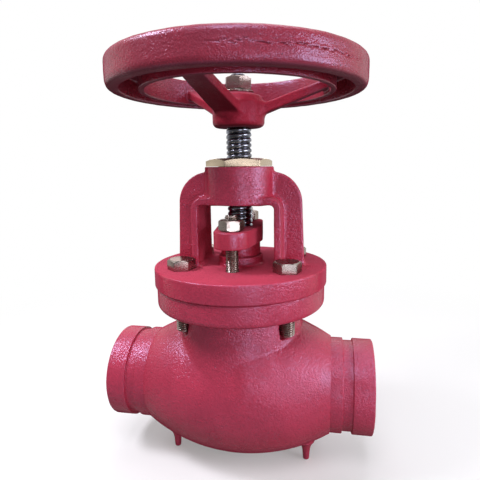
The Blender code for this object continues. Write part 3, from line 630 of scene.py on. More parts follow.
ENAMEL_TINT = (0.70, 0.66, 1, 1)
ENAMEL_ROUGHNESS = 0.24
FULL_GLOSS = 0.74
CORE_RADIUS, CORE_END = 0.04, 0.07
PIT_DARK = (0.035, 0.012, 0.014)
# Green and blue of the painted sheen that the enamel takes at a slant
SHEEN_GREEN, SHEEN_BLUE = 0.15, 0.20


def paint(name, colour, pebble, depth, pits=0.3, dull_and_shade=0.4, gone=0.84, painted_sheen=0.30, core=1.0):
    """Enamel over a rough casting, rougher and with painted shade on what faces down, without gloss at a
    slant.

    Pebble and depth are the size and height of the cast skin, and pits is how far its holes go in.
    Dull_and_shade is how much rougher the underside is and how far its colour is darkened as painted
    shade. At the slant called gone, from 0 head on to 1 edge on, the gloss has left, and a painted sheen,
    a lighter and paler tone as strong as painted_sheen, comes in its place. Core is the share of gloss
    that stays near the stem's axis.
    """
    made, tree, shader, where = new_material(name, Specular_Tint=ENAMEL_TINT, IOR=1.62)
    slant = add_node(tree, "LayerWeight", Blend=0.5).outputs["Facing"]
    axes = add_node(tree, "SeparateXYZ", Vector=where).outputs
    off_axis = math(tree, "MULTIPLY_ADD", axes["Y"], axes["Y"], math(tree, "MULTIPLY", axes["X"], axes["X"]))
    gloss = spread(tree, off_axis, CORE_RADIUS ** 2, CORE_END ** 2, core, 1.0)
    gloss = math(tree, "MULTIPLY", gloss, spread(tree, slant, 0.10, gone, FULL_GLOSS, 0.0))
    tree.links.new(gloss, shader.inputs["Specular IOR Level"])
    grain = use_group(tree, grain_group, Vector=where, Pebble_Size=pebble, Pits=pits)
    tone = blend(tree, spread(tree, grain["Mottle"], 0.32, 0.68), tinted(colour, 0.93), tinted(colour, 1.05))
    # Painted shade: the low spots of the cast skin are coloured darker.
    hollow_shade = spread(tree, grain["Height"], 0.05, 0.38, 0.35, 0.0)
    tone = blend(tree, hollow_shade, tone, tinted(colour, 0.62))
    # The pits of the cast skin are coloured near black.
    tone = blend(tree, math(tree, "MULTIPLY", grain["Pit"], 2.2, clamp=True), tone, PIT_DARK)
    facing = add_node(tree, "SeparateXYZ", Vector=where.node.outputs["Normal"]).outputs["Z"]
    # Painted shade: what faces down is darkened towards a third of the colour, and is also made rougher.
    under = spread(tree, facing, -0.9, -0.45, dull_and_shade, 0.0)
    tone = blend(tree, under, tone, tinted(colour, 0.3))
    # Painted sheen: towards edge on, the colour turns lighter and paler in place of the gloss.
    sheen_share = spread(tree, slant, 0.5, 0.95, 0.0, painted_sheen)
    tone = blend(tree, sheen_share, tone, (colour[0], SHEEN_GREEN, SHEEN_BLUE))
    tree.links.new(tone, shader.inputs["Base Color"])
    rough = spread(tree, grain["Mottle"], 0.3, 0.7, ENAMEL_ROUGHNESS + 0.07, ENAMEL_ROUGHNESS - 0.05)
    rough = math(tree, "MULTIPLY_ADD", grain["Pit"], 0.3, rough)
    rough = math(tree, "MULTIPLY_ADD", under, 0.5, rough)
    tree.links.new(rough, shader.inputs["Roughness"])
    set_bump(tree, shader, grain["Height"], 1.0, depth)
    return made


def metal(name, colour, stained, roughness, line_scale=900.0, stain_scale=120.0, relief=0.00004,
          edge=(1, 1, 1, 1)):
    """Bare or plated metal with tool marks, and a second colour in its stains."""
    made, tree, shader, where = new_material(name, Metallic=1.0, Specular_Tint=edge)
    marks = use_group(tree, marks_group, Vector=where, Line_Scale=line_scale, Stain_Scale=stain_scale)
    stain = spread(tree, marks["Stain"], 0.42, 0.66)
    tree.links.new(blend(tree, stain, colour, stained), shader.inputs["Base Color"])
    rough = math(tree, "MULTIPLY_ADD", marks["Lines"], 0.16, roughness - 0.08)
    rough = math(tree, "MULTIPLY_ADD", stain, 0.12, rough)
    tree.links.new(rough, shader.inputs["Roughness"])
    height = math(tree, "ADD", marks["Lines"], math(tree, "MULTIPLY", stain, 0.4))
    set_bump(tree, shader, height, 0.6, relief)
    return made


def fibre(name, colour, scale, roughness):
    """Braided packing, rubber or gasket sheet."""
    made, tree, shader, where = new_material(name)
    weave = add_node(tree, "TexVoronoi", Vector=where, Scale=scale).outputs["Distance"]
    tone = blend(tree, spread(tree, weave, 0.1, 0.7), tinted(colour, 1.6), tinted(colour, 0.5))
    tree.links.new(tone, shader.inputs["Base Color"])
    rough = spread(tree, weave, 0.1, 0.7, roughness - 0.1, roughness + 0.1)
    tree.links.new(rough, shader.inputs["Roughness"])
    set_bump(tree, shader, weave, 0.7, 0.0002)
    return made


grain_group = cast_grain()
marks_group = tool_marks()
RED = (0.52, 0.036, 0.076)
body_paint = paint("body_paint", RED, 0.0012, 0.00062)
bonnet_paint = paint("bonnet_paint", RED, 0.0012, 0.00052, gone=0.64, painted_sheen=0.48)
gland_paint = paint("gland_paint", (0.48, 0.032, 0.064), 0.0011, 0.00024, gone=0.64, painted_sheen=0.40)
wheel_paint = paint("wheel_paint", (0.33, 0.021, 0.041), 0.0012, 0.00048, pits=0.5, dull_and_shade=0.9, gone=0.88,
                    core=0.10)
brass = metal("bush_brass", (0.52, 0.42, 0.30), (0.44, 0.36, 0.25), 0.25, 1400, 60, relief=0.000006)
bronze = metal("seat_bronze", (0.66, 0.46, 0.24), (0.45, 0.30, 0.16), 0.32)
zinc = metal("zinc", (0.43, 0.37, 0.335), (0.32, 0.27, 0.24), 0.22, 1100, 90, relief=0.000005,
             edge=(0.46, 0.40, 0.38, 1))
greased_steel = metal("stem_steel", (0.24, 0.25, 0.29), (0.08, 0.08, 0.09), 0.17, 1600, 70,
                      relief=0.000012)
cover_steel = metal("cover_steel", (0.42, 0.42, 0.43), (0.22, 0.21, 0.20), 0.32)
disc_iron = metal("disc_iron", (0.17, 0.16, 0.16), (0.09, 0.07, 0.06), 0.50, 500, 200, relief=0.0001)
graphite = fibre("packing_graphite", (0.03, 0.03, 0.032), 900, 0.6)
rubber = fibre("facing_rubber", (0.02, 0.02, 0.02), 2400, 0.7)
gasket_sheet = fibre("gasket_sheet", (0.10, 0.09, 0.08), 1800, 0.8)


# Body casting

def globe_girth(x):
    rise = GLOBE_RADIUS - SHOULDER_RADIUS
    sweep = (rise ** 2 + GLOBE_REACH ** 2) / (2 * rise)
    return GLOBE_RADIUS - sweep + np.sqrt(sweep ** 2 - np.clip(x, -GLOBE_REACH, GLOBE_REACH) ** 2)


def outlet_swell(x, y, z):
    """The globe is fuller over its outlet side, where the flow turns after the seat."""
    angle = np.degrees(np.arctan2(z, np.abs(y)))
    t = np.clip((x - SWELL_START) / SWELL_RISE, 0, 1)
    along = t * t * (3 - 2 * t) * np.exp(-(np.maximum(x - SWELL_END, 0) / SWELL_FADE) ** 2)
    return SWELL * along * np.exp(-((angle - SWELL_ANGLE) / SWELL_SPREAD) ** 2)


def shell_field(x, y, z):
    """Globe, neck and bolt scallops, with z from the pipe's axis."""
    globe = (np.hypot(y, z) - globe_girth(x) - outlet_swell(x, y, z)) * 0.97
    top = flange_under - PIPE_HEIGHT
    cone = NECK_TOP_RADIUS + NECK_TAPER * (top - z)
    foot = NECK_TOP_RADIUS + NECK_TAPER * (top - NECK_FOOT_RISE)
    cone = np.where(z < NECK_FOOT_RISE, foot - (NECK_FOOT_RISE - z), cone)
    neck = (np.hypot(x, y) - cone) * 0.98
    shell = smooth_least(globe, neck, NECK_BLEND)
    for bolt_x, bolt_y in BOLT_SPOTS:
        scallop = np.maximum(np.hypot(x - bolt_x, y - bolt_y) - RELIEF_RADIUS, relief_foot - PIPE_HEIGHT - z)
        shell = smooth_most(shell, -scallop, 0.0016)
    return np.maximum(shell, z - top - NECK_LAP)


def make_shell():
    """The globe and neck as one skin on rays from the globe's middle, capped at both shoulders.

    Each ray is walked outwards until it leaves the casting, and halving then finds the skin.
    """
    rings, spokes = 132, 288
    nearest, farthest = 0.030, 0.112
    start = np.arctan2(SHOULDER_RADIUS, GLOBE_REACH)
    alpha = np.linspace(start, pi - start, rings)[:, None]
    phi = np.arange(spokes)[None, :] * 2 * pi / spokes
    way = np.stack([np.cos(alpha) + 0 * phi, np.sin(alpha) * np.cos(phi), np.sin(alpha) * np.sin(phi)], -1)
    reach = np.full(way.shape[:2], nearest)
    far = np.full(way.shape[:2], farthest)
    done = np.zeros(way.shape[:2], bool)
    for step in np.linspace(nearest, farthest, 70):
        outside = shell_field(*np.moveaxis(way * step, -1, 0)) > 0
        far = np.where(outside & ~done, step, far)
        done |= outside
        reach = np.where(done, reach, step)
    for _ in range(14):
        middle = (reach + far) / 2
        outside = shell_field(*np.moveaxis(way * middle[..., None], -1, 0)) > 0
        far = np.where(outside, middle, far)
        reach = np.where(outside, reach, middle)
    rows = list(way * reach[..., None])
    for end, side in ((0, 1), (-1, -1)):
        rim = rows[end].copy()
        rim[:, 0] = side * (GLOBE_REACH + 0.00025)
        rim[:, 1:] *= 1 - 0.0003 / SHOULDER_RADIUS
        rows = [rim] + rows if side > 0 else rows + [rim]
    return stacked("body_casting", [[(x, y, z + PIPE_HEIGHT) for x, y, z in row] for row in rows])


def make_cavity():
    """The flow passage and the neck's bore, with the seat wall left standing across them."""
    mouth = BORE_RADIUS + 0.0012
    space = [(0, PIPE_END + PAST), (mouth, PIPE_END + PAST), (mouth, PIPE_END),
             (BORE_RADIUS, PIPE_END - 0.0012)]
    for x in np.linspace(GLOBE_REACH, -GLOBE_REACH, 33):
        space.append((max(BORE_RADIUS, float(globe_girth(x)) - WALL), float(x)))
    space += [(radius, -along) for radius, along in space[3::-1]]
    cavity = about_pipe(turned("cavity", space, 128))
    cavity = join(cavity, bar("neck_bore", NECK_BORE_RADIUS, PIPE_HEIGHT, flange_top + PAST, 128))
    cavity = cut(cavity, make_seat_wall())
    roughen(cavity, 0.012, 0.0002)
    return cavity


def make_body():
    body = make_shell()
    top, under, edge = flange_top, flange_under, BODY_FLANGE_RADIUS
    flange = turned("flange", rounded([
        (0, top, 0), (edge, top, 0.0014), (edge, under, 0.0045), (NECK_TOP_RADIUS + 0.0002, under, 0.0035),
        (NECK_TOP_RADIUS + NECK_TAPER * NECK_LAP - 0.0003, under - NECK_LAP, 0),
        (0, under - NECK_LAP, 0)], bends=6), 200)
    flange = cut(flange, copies(bar("relief", RELIEF_RADIUS, relief_foot, under, 48), BOLT_SPOTS))
    body = join(body, flange)
    groove = PIPE_END - COLLAR_LENGTH
    land = groove - GROOVE_WIDTH
    profile = rounded([
        (0, PIPE_END, 0), (PIPE_RADIUS, PIPE_END, 0.0011), (PIPE_RADIUS, groove, 0.0005),
        (GROOVE_RADIUS, groove, 0.0004), (GROOVE_RADIUS, land, 0.0005), (PIPE_RADIUS, land, 0.0006),
        (PIPE_RADIUS, GLOBE_REACH - 0.012, 0), (0, GLOBE_REACH - 0.012, 0)])
    for side in (-1, 1):
        end = turned("pipe_end", [(radius, side * along) for radius, along in profile], 200)
        body = join(body, about_pipe(end))
    foot = turned("feet", rounded([
        (0, 0, 0), (0.0025, 0, 0.0011), (0.0032, 0.0100, 0.003), (0.0046, 0.0140, 0.003),
        (0.0068, 0.0170, 0), (0.0068, 0.0200, 0), (0, 0.0200, 0)]), 40)
    body = join(body, copies(foot, [(x, y) for x in (-FOOT_X, FOOT_X) for y in (-FOOT_Y, FOOT_Y)]))
    recess = bar("recess", 0.0430, top - 0.003, top + PAST, 128)
    seat_bore = bar("seat_bore", 0.0337, PIPE_HEIGHT - 0.02, PIPE_HEIGHT + 0.0135, 96)
    hole = bar("holes", BOLT_RADIUS + THREAD_GAP, under - 0.004, top + PAST, 40)
    body = cut(body, make_cavity(), recess, seat_bore, copies(hole, BOLT_SPOTS))
    roughen(body, 0.010, 0.00010, seed=3.1)
    piece(body, body_paint, "valve", "body_paint", "body")


def make_seat_wall():
    """The S-shaped wall that carries the seat, extruded across the globe."""
    controls = [Vector((-0.080, 0.040)), Vector((-0.0558, 0.038)), Vector((-0.0521, 0)), Vector((-0.0369, 0))]
    half = []
    for i in range(29):
        t = i / 28
        weights = ((1 - t) ** 3, 3 * t * (1 - t) ** 2, 3 * t ** 2 * (1 - t), t ** 3)
        half.append(sum((w * p for w, p in zip(weights, controls)), Vector((0, 0))))
    line = half + [-point for point in reversed(half)]
    upper, lower = [], []
    for i, point in enumerate(line):
        along = line[min(i + 1, len(line) - 1)] - line[max(i - 1, 0)]
        side = Vector((-along.y, along.x)).normalized() * SEAT_WALL_HALF
        upper.append(point + side)
        lower.append(point - side)
    outline = upper + lower[::-1]
    return stacked("seat_wall", [[(p.x, y, p.y + PIPE_HEIGHT) for p in outline] for y in (-0.06, 0.06)])


# Bonnet casting

def yoke_field(x, y, z):
    """Both arms of T section, the boss and the fillets that tie them to each other and to the flange."""
    middle = rounded_box(x, z, WINDOW_HALF, boss_foot + ARM_HALF, WINDOW_ROUNDING)
    bars = thick(np.abs(middle) - ARM_HALF, y, ARM_HALF_WIDTH, CAST_EDGE)
    lean = np.clip((boss_foot - z) / (boss_foot - bonnet_top), 0, 1)
    arch = rounded_box(x, z, ARCH_HALF + ARCH_LEAN * lean, boss_foot + ARCH_ROUNDING, ARCH_ROUNDING)
    web = thick(np.maximum(arch, -middle), y, WEB_HALF, CAST_EDGE)
    yoke = smooth_least(bars, web, 0.0035)
    reach = np.hypot(x, y)
    boss = thick(reach - BOSS_RADIUS, z - (boss_foot + boss_top) / 2, (boss_top - boss_foot) / 2, 0.0010)
    yoke = smooth_least(yoke, boss, 0.0025)
    yoke = smooth_least(yoke, z - bonnet_top + 0.0001, 0.0045)
    yoke = np.maximum(yoke, reach - YOKE_REACH)
    return np.maximum(yoke, BOSS_BORE - reach)


def make_bonnet():
    radius, top, foot = BONNET_FLANGE_RADIUS, bonnet_top, bonnet_foot
    tongue = foot - 0.003 + 0.0018
    box_foot = 0.1234
    bonnet = turned("bonnet_casting", rounded([
        (0, box_top, 0), (BOX_RADIUS, box_top, 0.0009), (BOX_RADIUS, top, 0.0035), (radius, top, 0.0016),
        (radius, foot, 0.0013), (TONGUE_RADIUS, foot, 0), (TONGUE_RADIUS, tongue, 0.0006),
        (0.0195, tongue, 0.0035), (0.0195, box_foot, 0.0005), (0, box_foot, 0)], bends=6), 200)
    low, high = (-0.0675, -0.0675, top - 0.0040), (0.0675, 0.0675, boss_top + 0.002)
    yoke = skin("yoke", yoke_field, low, high, 0.00085)
    bonnet = join(bonnet, yoke)
    packing_foot = 0.1382
    box = turned("box", [(0, box_top + PAST), (0.0150, box_top + PAST), (0.0150, packing_foot),
                         (0.01365, packing_foot), (0.01365, 0.11), (0, 0.11)], 96)
    hole = bar("bolt_holes", BOLT_RADIUS + HOLE_GAP, foot - 0.006, top + 0.004, 40)
    stud_hole = bar("stud_holes", STUD_RADIUS + THREAD_GAP, top - STUD_HOLE_DEPTH, top + 0.004, 40)
    bonnet = cut(bonnet, box, copies(hole, BOLT_SPOTS), copies(stud_hole, STUD_SPOTS))
    roughen(bonnet, 0.008, 0.00010, seed=7.7, keep=lambda co: abs(co.z - boss_top) < 0.0002)
    piece(bonnet, bonnet_paint, "valve", "bonnet_paint", "bonnet")


# Gland

def gland_ring(inset, height):
    """A lobe round each stud and a wider middle round the stem, joined by tangents."""
    lean = asin((GLAND_MIDDLE_RADIUS - GLAND_LOBE_RADIUS) / STUD_Y)
    half = []
    for radius, reach, start, end, count in ((GLAND_MIDDLE_RADIUS, 0, -lean, lean, 8),
                                             (GLAND_LOBE_RADIUS, STUD_Y, lean, pi - lean, 32)):
        for i in range(count + 1):
            angle = start + (end - start) * i / count
            half.append(((radius - inset) * cos(angle), reach + (radius - inset) * sin(angle), height))
    return half + [(-x, -y, z) for x, y, z in half]


def make_gland():
    low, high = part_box("gland")
    flange_foot = high.z - GLAND_FLANGE_THICKNESS
    collar = box_top + 0.0005
    edge = rounded([(0.002, flange_foot, 0), (0, flange_foot, 0.0012),
                    (0, high.z, 0.0012), (0.002, high.z, 0)])
    gland = stacked("gland_casting", [gland_ring(inset, height) for inset, height in edge])
    sleeve = turned("sleeve", rounded([
        (0, flange_foot + 0.005, 0), (0.0160, flange_foot + 0.005, 0), (0.0160, collar, 0.0006),
        (0.0147, collar, 0), (0.0147, low.z, 0.0004), (0, low.z, 0)]), 96)
    bore = bar("bore", STEM_BORE, low.z - PAST, high.z + PAST)
    stud_hole = bar("stud_holes", STUD_RADIUS + HOLE_GAP, flange_foot - 0.004, high.z + PAST, 40)
    gland = cut(join(gland, sleeve), bore, copies(stud_hole, STUD_SPOTS))
    roughen(gland, 0.008, 0.00008, seed=5.2)
    piece(gland, gland_paint, "valve", "gland_paint", "gland")


# Handwheel

def wheel_field(x, y, z):
    """Hub and three rising spokes, with fillets, and a slimmer inner wall for them to melt into."""
    reach = np.hypot(x, y)
    corners = [(-0.01, HUB_EDGE)]
    for angle in np.linspace(-pi / 2, 0, 7):
        corners.append((HUB_RADIUS - 0.0040 + 0.0025 * cos(angle), 0.0040 + 0.0025 * sin(angle)))
    corners += [(HUB_RADIUS - HUB_EDGE, 0.0180), (0.0172, 0.0219), (0.0115, HUB_HEIGHT - HUB_EDGE),
                (-0.01, HUB_HEIGHT - HUB_EDGE)]
    hub = polygon_distance(corners, reach, z) - HUB_EDGE
    arms = np.full(x.shape, 1e9)
    for i in range(3):
        angle = SPOKE_ANGLE + 2 * pi * i / 3
        along = (x * cos(angle) + y * sin(angle) - SPOKE_START) / (RIM_MIDDLE - SPOKE_START)
        across = -x * sin(angle) + y * cos(angle)
        foot, depth, half = (root + (tip - root) * along
                             for root, tip in (SPOKE_FOOT, SPOKE_DEPTH, SPOKE_HALF))
        upright = np.abs(z - foot - depth / 2) - depth / 2
        sides = np.maximum(np.abs(across) - half, (np.abs(along - 0.5) - 0.5) * RIM_MIDDLE)
        arms = np.minimum(arms, within_both(upright * 0.93, sides, 0.0016))
    wheel = smooth_least(hub, arms, 0.0045)
    foot, top = rim_foot - hub_foot, rim_top - hub_foot
    wall = thick(np.abs(reach - RIM_MIDDLE) - 0.0020, z - (foot + top) / 2, (top - foot) / 2 - 0.0012, 0.001)
    return smooth_least(wheel, wall, 0.0030)


def seam_push(co):
    """How far the rim's face moves out at a point: a cut along the seam, with a low ridge over it."""
    way = Vector((co.x, co.y, 0)).normalized()
    seam = rim_foot + SEAM_RISE + sum(far * noise.noise(way * fine) for fine, far in SEAM_WAVES)
    front = 1 - abs(degrees(atan2(co.x, -co.y)) - SEAM_MIDDLE) / SEAM_SPREAD
    present = max(front * 2.5, 0.9 * noise.noise(way * 3.1 + Vector((0.3, 1.7, 0))))
    broken = max(0, min(1, 0.70 + 1.6 * noise.noise(way * 40)))
    gap = (co.z - seam) / SEAM_CUT_WIDTH
    ridge = (co.z - seam - SEAM_RIDGE_RISE) / SEAM_RIDGE_WIDTH
    push = SEAM_RIDGE_HEIGHT * exp(-ridge * ridge) - SEAM_CUT_DEPTH * exp(-gap * gap)
    return way * max(0, min(1, present)) * broken * push


def make_rim():
    """The channel rim, with the wavy parting seam of its mould round the outer face."""
    foot, top = rim_foot, rim_top
    inner = RIM_MIDDLE - 0.0022
    wall = inner + 0.0044
    ceiling = top - RIM_CEILING
    profile = rounded([
        (RIM_CHANNEL_RADIUS, foot, 0.0014), (RIM_CHANNEL_RADIUS, ceiling, 0.0022), (wall, ceiling, 0.0022),
        (wall, foot, 0.0010), (inner, foot, 0.0013), (inner, top - 0.0008, 0.0036),
        (inner + 0.009, top, 0.004), (WHEEL_RADIUS, top, 0.0050), (WHEEL_RADIUS, foot, 0.0058)],
        closed=True, bends=7)
    face = WHEEL_RADIUS - 0.0014
    dense = []
    for i, (radius, height) in enumerate(profile):
        dense.append((radius, height))
        after = profile[(i + 1) % len(profile)]
        if radius > face and after[0] > face:
            extra = int(abs(after[1] - height) / 0.00035)
            for k in range(1, extra):
                t = k / extra
                dense.append((radius + (after[0] - radius) * t, height + (after[1] - height) * t))
    rim = turned("handwheel_casting", dense, 400, ring=True)
    for vertex in rim.data.vertices:
        if Vector(vertex.co.xy).length > face:
            vertex.co += seam_push(vertex.co)
    return rim


def make_handwheel():
    low = (-0.0765, -0.0765, -0.0015)
    high = (0.0765, 0.0765, rim_top - hub_foot + 0.0015)
    spokes = skin("spokes", wheel_field, low, high, 0.00095)
    spokes.data.transform(Matrix.Translation((0, 0, hub_foot)))
    square = square_bar("square", WHEEL_SQUARE_HALF, hub_foot - PAST, hub_top + PAST)
    wheel = cut(join(make_rim(), spokes), square)
    roughen(wheel, 0.009, 0.00013, seed=1.4)
    piece(wheel, wheel_paint, "spindle", "wheel_paint", "handwheel")


# Threads, screws and nuts

def thread_tree():
    """Geometry Nodes tree for a screw thread about Z: a cylinder whose skin winds in and out."""
    tree = bpy.data.node_groups.new("screw_thread", "GeometryNodeTree")
    tree.interface.new_socket("Geometry", in_out="OUTPUT", socket_type="NodeSocketGeometry")
    labels = {"Radius": 0.006, "Depth": 0.001, "Pitch": 0.00175, "Foot": 0.0, "Length": 0.02, "Crest": 1.4}
    sockets = {}
    for label, value in labels.items():
        socket = tree.interface.new_socket(label, in_out="INPUT", socket_type="NodeSocketFloat")
        socket.default_value = value
        sockets[label] = socket.identifier
    for label, value in (("Rows", 100), ("Sides", 48)):
        socket = tree.interface.new_socket(label, in_out="INPUT", socket_type="NodeSocketInt")
        socket.default_value = value
        sockets[label] = socket.identifier
    finish = tree.interface.new_socket("Material", in_out="INPUT", socket_type="NodeSocketMaterial")
    sockets["Material"] = finish.identifier
    source = tree.nodes.new("NodeGroupInput").outputs
    sink = tree.nodes.new("NodeGroupOutput").inputs
    rod = add_node(tree, "GeometryNodeMeshCylinder", Vertices=source["Sides"], Side_Segments=source["Rows"],
                   Fill_Segments=1, Radius=source["Radius"], Depth=source["Length"])
    place = add_node(tree, "GeometryNodeInputPosition").outputs[0]
    x, y, z = add_node(tree, "SeparateXYZ", i0=place).outputs
    angle = math(tree, "DIVIDE", math(tree, "ARCTAN2", y, x), 2 * pi)
    turns = math(tree, "SUBTRACT", math(tree, "DIVIDE", z, source["Pitch"]), angle)
    climb = math(tree, "MULTIPLY", math(tree, "PINGPONG", turns, 0.5), 2.0)
    groove = math(tree, "POWER", math(tree, "SUBTRACT", 1.0, climb), source["Crest"])
    half = math(tree, "MULTIPLY", source["Length"], 0.5)
    from_end = math(tree, "SUBTRACT", half, math(tree, "ABSOLUTE", z))
    edge = math(tree, "DIVIDE", from_end, source["Depth"], clamp=True)
    crest = math(tree, "MULTIPLY", math(tree, "SUBTRACT", 1.0, groove), edge)
    inward = math(tree, "MULTIPLY", source["Depth"], math(tree, "SUBTRACT", 1.0, crest))
    factor = math(tree, "DIVIDE", math(tree, "SUBTRACT", source["Radius"], inward), source["Radius"])
    wound = add_node(tree, "CombineXYZ", X=math(tree, "MULTIPLY", x, factor),
                     Y=math(tree, "MULTIPLY", y, factor), Z=z)
    moved = add_node(tree, "GeometryNodeSetPosition", Geometry=rod.outputs["Mesh"], Position=wound.outputs[0])
    lift = add_node(tree, "CombineXYZ", Z=math(tree, "ADD", source["Foot"], half))
    placed = add_node(tree, "GeometryNodeTransform", Geometry=moved.outputs[0], Translation=lift.outputs[0])
    real = add_node(tree, "GeometryNodeRealizeInstances", Geometry=placed.outputs[0])
    dressed = add_node(tree, "GeometryNodeSetMaterial", Geometry=real.outputs[0], Material=source["Material"])
    tree.links.new(dressed.outputs[0], sink["Geometry"])
    return tree, sockets


def thread(name, radius, depth, pitch, foot, top, sides, per_turn, material, crest=1.4):
    item = add_object(name, bpy.data.meshes.new(name))
    grow = item.modifiers.new("Thread", "NODES")
    grow.node_group = thread_group
    values = {"Radius": radius, "Depth": depth, "Pitch": pitch, "Foot": foot, "Length": top - foot,
              "Crest": crest, "Rows": int((top - foot) / pitch * per_turn), "Sides": sides,
              "Material": material}
    for label, value in values.items():
        grow[thread_sockets[label]] = value
    return settle(item)


def make_bonnet_bolts():
    head_top = bolt_seat + BOLT_HEAD_HEIGHT
    for name, (x, y, turn) in BOLT_PLACES.items():
        head = hexagon(f"bonnet_bolt_{name}_head", BOLT_FLATS, bolt_seat, head_top, radians(turn), 0.0013)
        head = join(head, bar("shank", BOLT_RADIUS - 0.0001, flange_under + 0.004, bolt_seat + 0.003, 48))
        screw = thread(f"bonnet_bolt_{name}_thread", BOLT_RADIUS, BOLT_THREAD_DEPTH, BOLT_PITCH,
                       bolt_seat - BOLT_LENGTH, flange_under + 0.0055, 56, 9, zinc)
        for item, replaced in ((head, (f"bonnet_bolt_{name}",)), (screw, ())):
            item.data.transform(Matrix.Translation((x, y, 0)))
            piece(item, zinc, "valve", "zinc", *replaced, sharp=35)


def make_gland_studs():
    nut_foot, nut_top = (corner.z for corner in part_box("gland_nut_front"))
    for side, y in (("front", -STUD_Y), ("rear", STUD_Y)):
        low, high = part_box(f"gland_stud_{side}")
        stud = thread(f"gland_stud_{side}_thread", STUD_RADIUS, STUD_THREAD_DEPTH, STUD_PITCH, low.z, high.z,
                      56, 9, zinc)
        nut = hexagon(f"gland_nut_{side}_hex", STUD_FLATS, nut_foot, nut_top, radians(21), 0.0012, both=True)
        nut = cut(nut, bar("bore", STUD_RADIUS + THREAD_GAP, nut_foot - PAST, nut_top + PAST, 48))
        for item, replaced in ((stud, f"gland_stud_{side}"), (nut, f"gland_nut_{side}")):
            item.data.transform(Matrix.Translation((0, y, 0)))
            piece(item, zinc, "valve", "zinc", replaced, sharp=35)


def make_yoke_bush():
    foot = boss_top + CONTACT_GAP
    flare = 0.0113
    bush = hexagon("yoke_bush_hex", BUSH_FLATS, foot, bush_top, radians(17), 0.0022)
    sleeve = bar("sleeve", BUSH_SLEEVE_RADIUS, boss_foot, foot + 0.003)
    bore = turned("bore", [(0, bush_top + PAST), (flare + PAST, bush_top + PAST), (flare, bush_top),
                           (STEM_BORE, bush_top - 0.0010), (STEM_BORE, boss_foot - PAST),
                           (0, boss_foot - PAST)], 96)
    bush = cut(join(bush, sleeve), bore)
    piece(bush, brass, "valve", "bush_brass", "yoke_bush")


def make_stem():
    low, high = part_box("stem")
    shoulder = hub_foot - CONTACT_GAP
    collar = low.z + STEM_COLLAR_HEIGHT
    neck = STEM_THREAD_FOOT + 0.003
    shank = turned("stem_shank", rounded([
        (0, neck, 0), (0.0074, neck, 0), (STEM_RADIUS, STEM_THREAD_FOOT, 0.0004),
        (STEM_RADIUS, collar, 0.0005), (STEM_COLLAR_RADIUS, collar, 0.0005),
        (STEM_COLLAR_RADIUS, low.z, 0.0025), (0, low.z, 0)]), 96)
    screw = thread("stem_thread", STEM_RADIUS, STEM_THREAD_DEPTH, STEM_PITCH, STEM_THREAD_FOOT + 0.0005,
                   shoulder, 96, 24, greased_steel, crest=2.6)
    end = square_bar("stem_end", STEM_SQUARE_HALF, shoulder - 0.002, hub_top)
    tip = thread("stem_tip", BOLT_RADIUS, BOLT_THREAD_DEPTH, BOLT_PITCH, hub_top - 0.002, high.z, 56, 9,
                 greased_steel)
    piece(shank, greased_steel, "spindle", "stem_steel", "stem")
    for item in (screw, end, tip):
        piece(item, greased_steel, "spindle", "stem_steel", sharp=40)


def make_wheel_nut():
    low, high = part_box("wheel_nut")
    bore = BOLT_RADIUS + THREAD_GAP
    nut = hexagon("wheel_nut_hex", BOLT_FLATS, low.z, high.z, radians(48), 0.0013, both=True)
    nut = cut(nut, bar("bore", bore, low.z - PAST, high.z + PAST, 48))
    piece(nut, zinc, "spindle", "zinc", "wheel_nut", sharp=35)
    low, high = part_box("wheel_washer")
    washer = turned("wheel_washer_ring", rounded([
        (bore, low.z, 0.0001), (0.0120, low.z, 0.0003), (0.0120, high.z, 0.0003), (bore, high.z, 0.0001)],
        closed=True), 72, ring=True)
    piece(washer, zinc, "spindle", "zinc", "wheel_washer")


# Inside pieces keep their solids and get their finishes

INSIDE = {
    "seat_ring": bronze, "backseat_bush": bronze, "packing_base_ring": bronze, "disc": disc_iron,
    "disc_cover": cover_steel, "disc_facing": rubber, "bonnet_gasket": gasket_sheet,
    "packing_ring_1": graphite, "packing_ring_2": graphite, "packing_ring_3": graphite,
    "packing_ring_4": graphite,
}


def dress_inside():
    for name, material in INSIDE.items():
        for place in nodes[name].material_slots:
            place.material = material


# Floor, background and light

# ROOM is how bright the gloss sees the room in front of the valve. FILL is the light from all round.
FLOOR_SEEN = (0.95, 0.94, 0.90)
FLOOR_BOUNCE = (0.18, 0.175, 0.17)
FILL = 0.30
ROOM = 0.17
LAMP_AIM = (0, 0, 0.15)
LAMP_COLOUR = (0.97, 0.96, 1.08)

# Each lamp's direction from the valve, its size, power and distance
LAMPS = {
    "window_right": ((0.95, -0.25, 0.20), (0.52, 0.30), 3.5, 0.85),
    "window_left": ((-0.60, -0.20, 0.76), (0.20, 0.22), 4.6, 0.85),
    "window_front": ((0.44, -0.895, -0.04), (0.36, 0.20), 1.32, 0.90),
    "window_rear": ((-0.15, 0.85, 0.45), (0.60, 0.60), 1.8, 0.95),
    "skylight": ((0.05, -0.50, 0.82), (0.34, 0.34), 2.4, 0.85),
    "ceiling": ((0.05, 0.25, 1.0), (0.60, 0.60), 2.2, 0.95),
}


def light_rays(tree):
    """Which rays are glossy, and which come from the camera, straight or through glass."""
    ray = tree.nodes.new("ShaderNodeLightPath").outputs
    return ray["Is Glossy Ray"], math(tree, "MAXIMUM", ray["Is Camera Ray"], ray["Is Transmission Ray"])


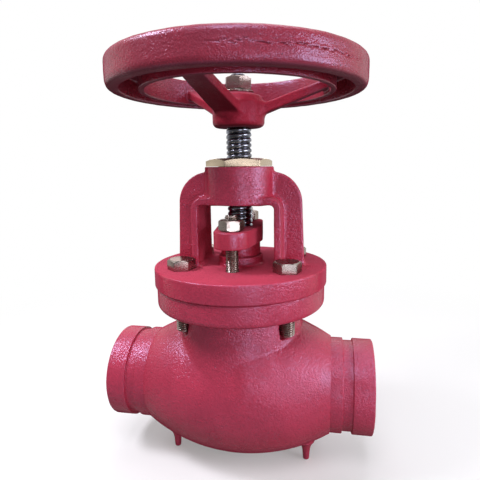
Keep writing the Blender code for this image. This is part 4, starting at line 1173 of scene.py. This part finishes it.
def make_floor():
    """A floor that glows white far from the valve and is dimmer in front where gloss sees it."""
    mesh = bpy.data.meshes.new("floor")
    shape = bmesh.new()
    bmesh.ops.create_circle(shape, cap_ends=True, segments=96, radius=6)
    shape.to_mesh(mesh)
    shape.free()
    floor = add_object("floor", mesh)
    floor.location.z = -0.0002
    made, tree, shader, where = new_material("floor", Roughness=0.7)
    glossy, open_ray = light_rays(tree)
    seen = math(tree, "MAXIMUM", open_ray, glossy)
    behind = spread(tree, add_node(tree, "SeparateXYZ", Vector=where).outputs["Y"], -0.15, 0.45, ROOM, 1.0)
    shown = math(tree, "MAXIMUM", open_ray, math(tree, "MULTIPLY", glossy, behind))
    tree.links.new(blend(tree, shown, FLOOR_BOUNCE, FLOOR_SEEN), shader.inputs["Base Color"])
    away = add_node(tree, "VectorMath", operation="LENGTH", i0=where).outputs["Value"]
    far = spread(tree, away, 0.12, 0.62, 0.25, 1.0)
    glow = add_node(tree, "Emission", Strength=math(tree, "MAXIMUM", open_ray, behind))
    mixed = add_node(tree, "MixShader", i0=math(tree, "MULTIPLY", far, seen), i1=shader.outputs[0],
                     i2=glow.outputs[0])
    tree.links.new(mixed.outputs[0], tree.nodes["Material Output"].inputs["Surface"])
    mesh.materials.append(made)


def make_world():
    """A white background to the camera, with a dimmer room in front of the valve for its gloss."""
    world = bpy.data.worlds.new("studio")
    bpy.context.scene.world = world
    world.use_nodes = True
    tree = world.node_tree
    back = tree.nodes["Background"]
    glossy, open_ray = light_rays(tree)
    way = add_node(tree, "SeparateXYZ", Vector=tree.nodes.new("ShaderNodeTexCoord").outputs["Generated"])
    behind = spread(tree, way.outputs["Y"], -0.5, 0.35, ROOM, 1.0)
    strength = math(tree, "MAXIMUM", open_ray, math(tree, "MULTIPLY", glossy, behind))
    back.inputs["Color"].default_value = (1, 1, 1, 1)
    tree.links.new(math(tree, "MAXIMUM", strength, FILL), back.inputs["Strength"])


def make_lamps():
    for name, (way, size, power, distance) in LAMPS.items():
        light = bpy.data.lights.new(name, "AREA")
        light.shape = "RECTANGLE"
        light.size, light.size_y = size
        light.energy = power
        light.color = LAMP_COLOUR
        lamp = add_object(name, light)
        way = Vector(way).normalized()
        lamp.location = Vector(LAMP_AIM) + way * distance
        lamp.rotation_euler = way.to_track_quat("Z", "Y").to_euler()


make_camera()
thread_group, thread_sockets = thread_tree()
make_body()
make_bonnet()
make_gland()
make_handwheel()
make_bonnet_bolts()
make_gland_studs()
make_yoke_bush()
make_stem()
make_wheel_nut()
dress_inside()
make_floor()
make_world()
make_lamps()
bpy.context.scene.view_settings.view_transform = "Standard"
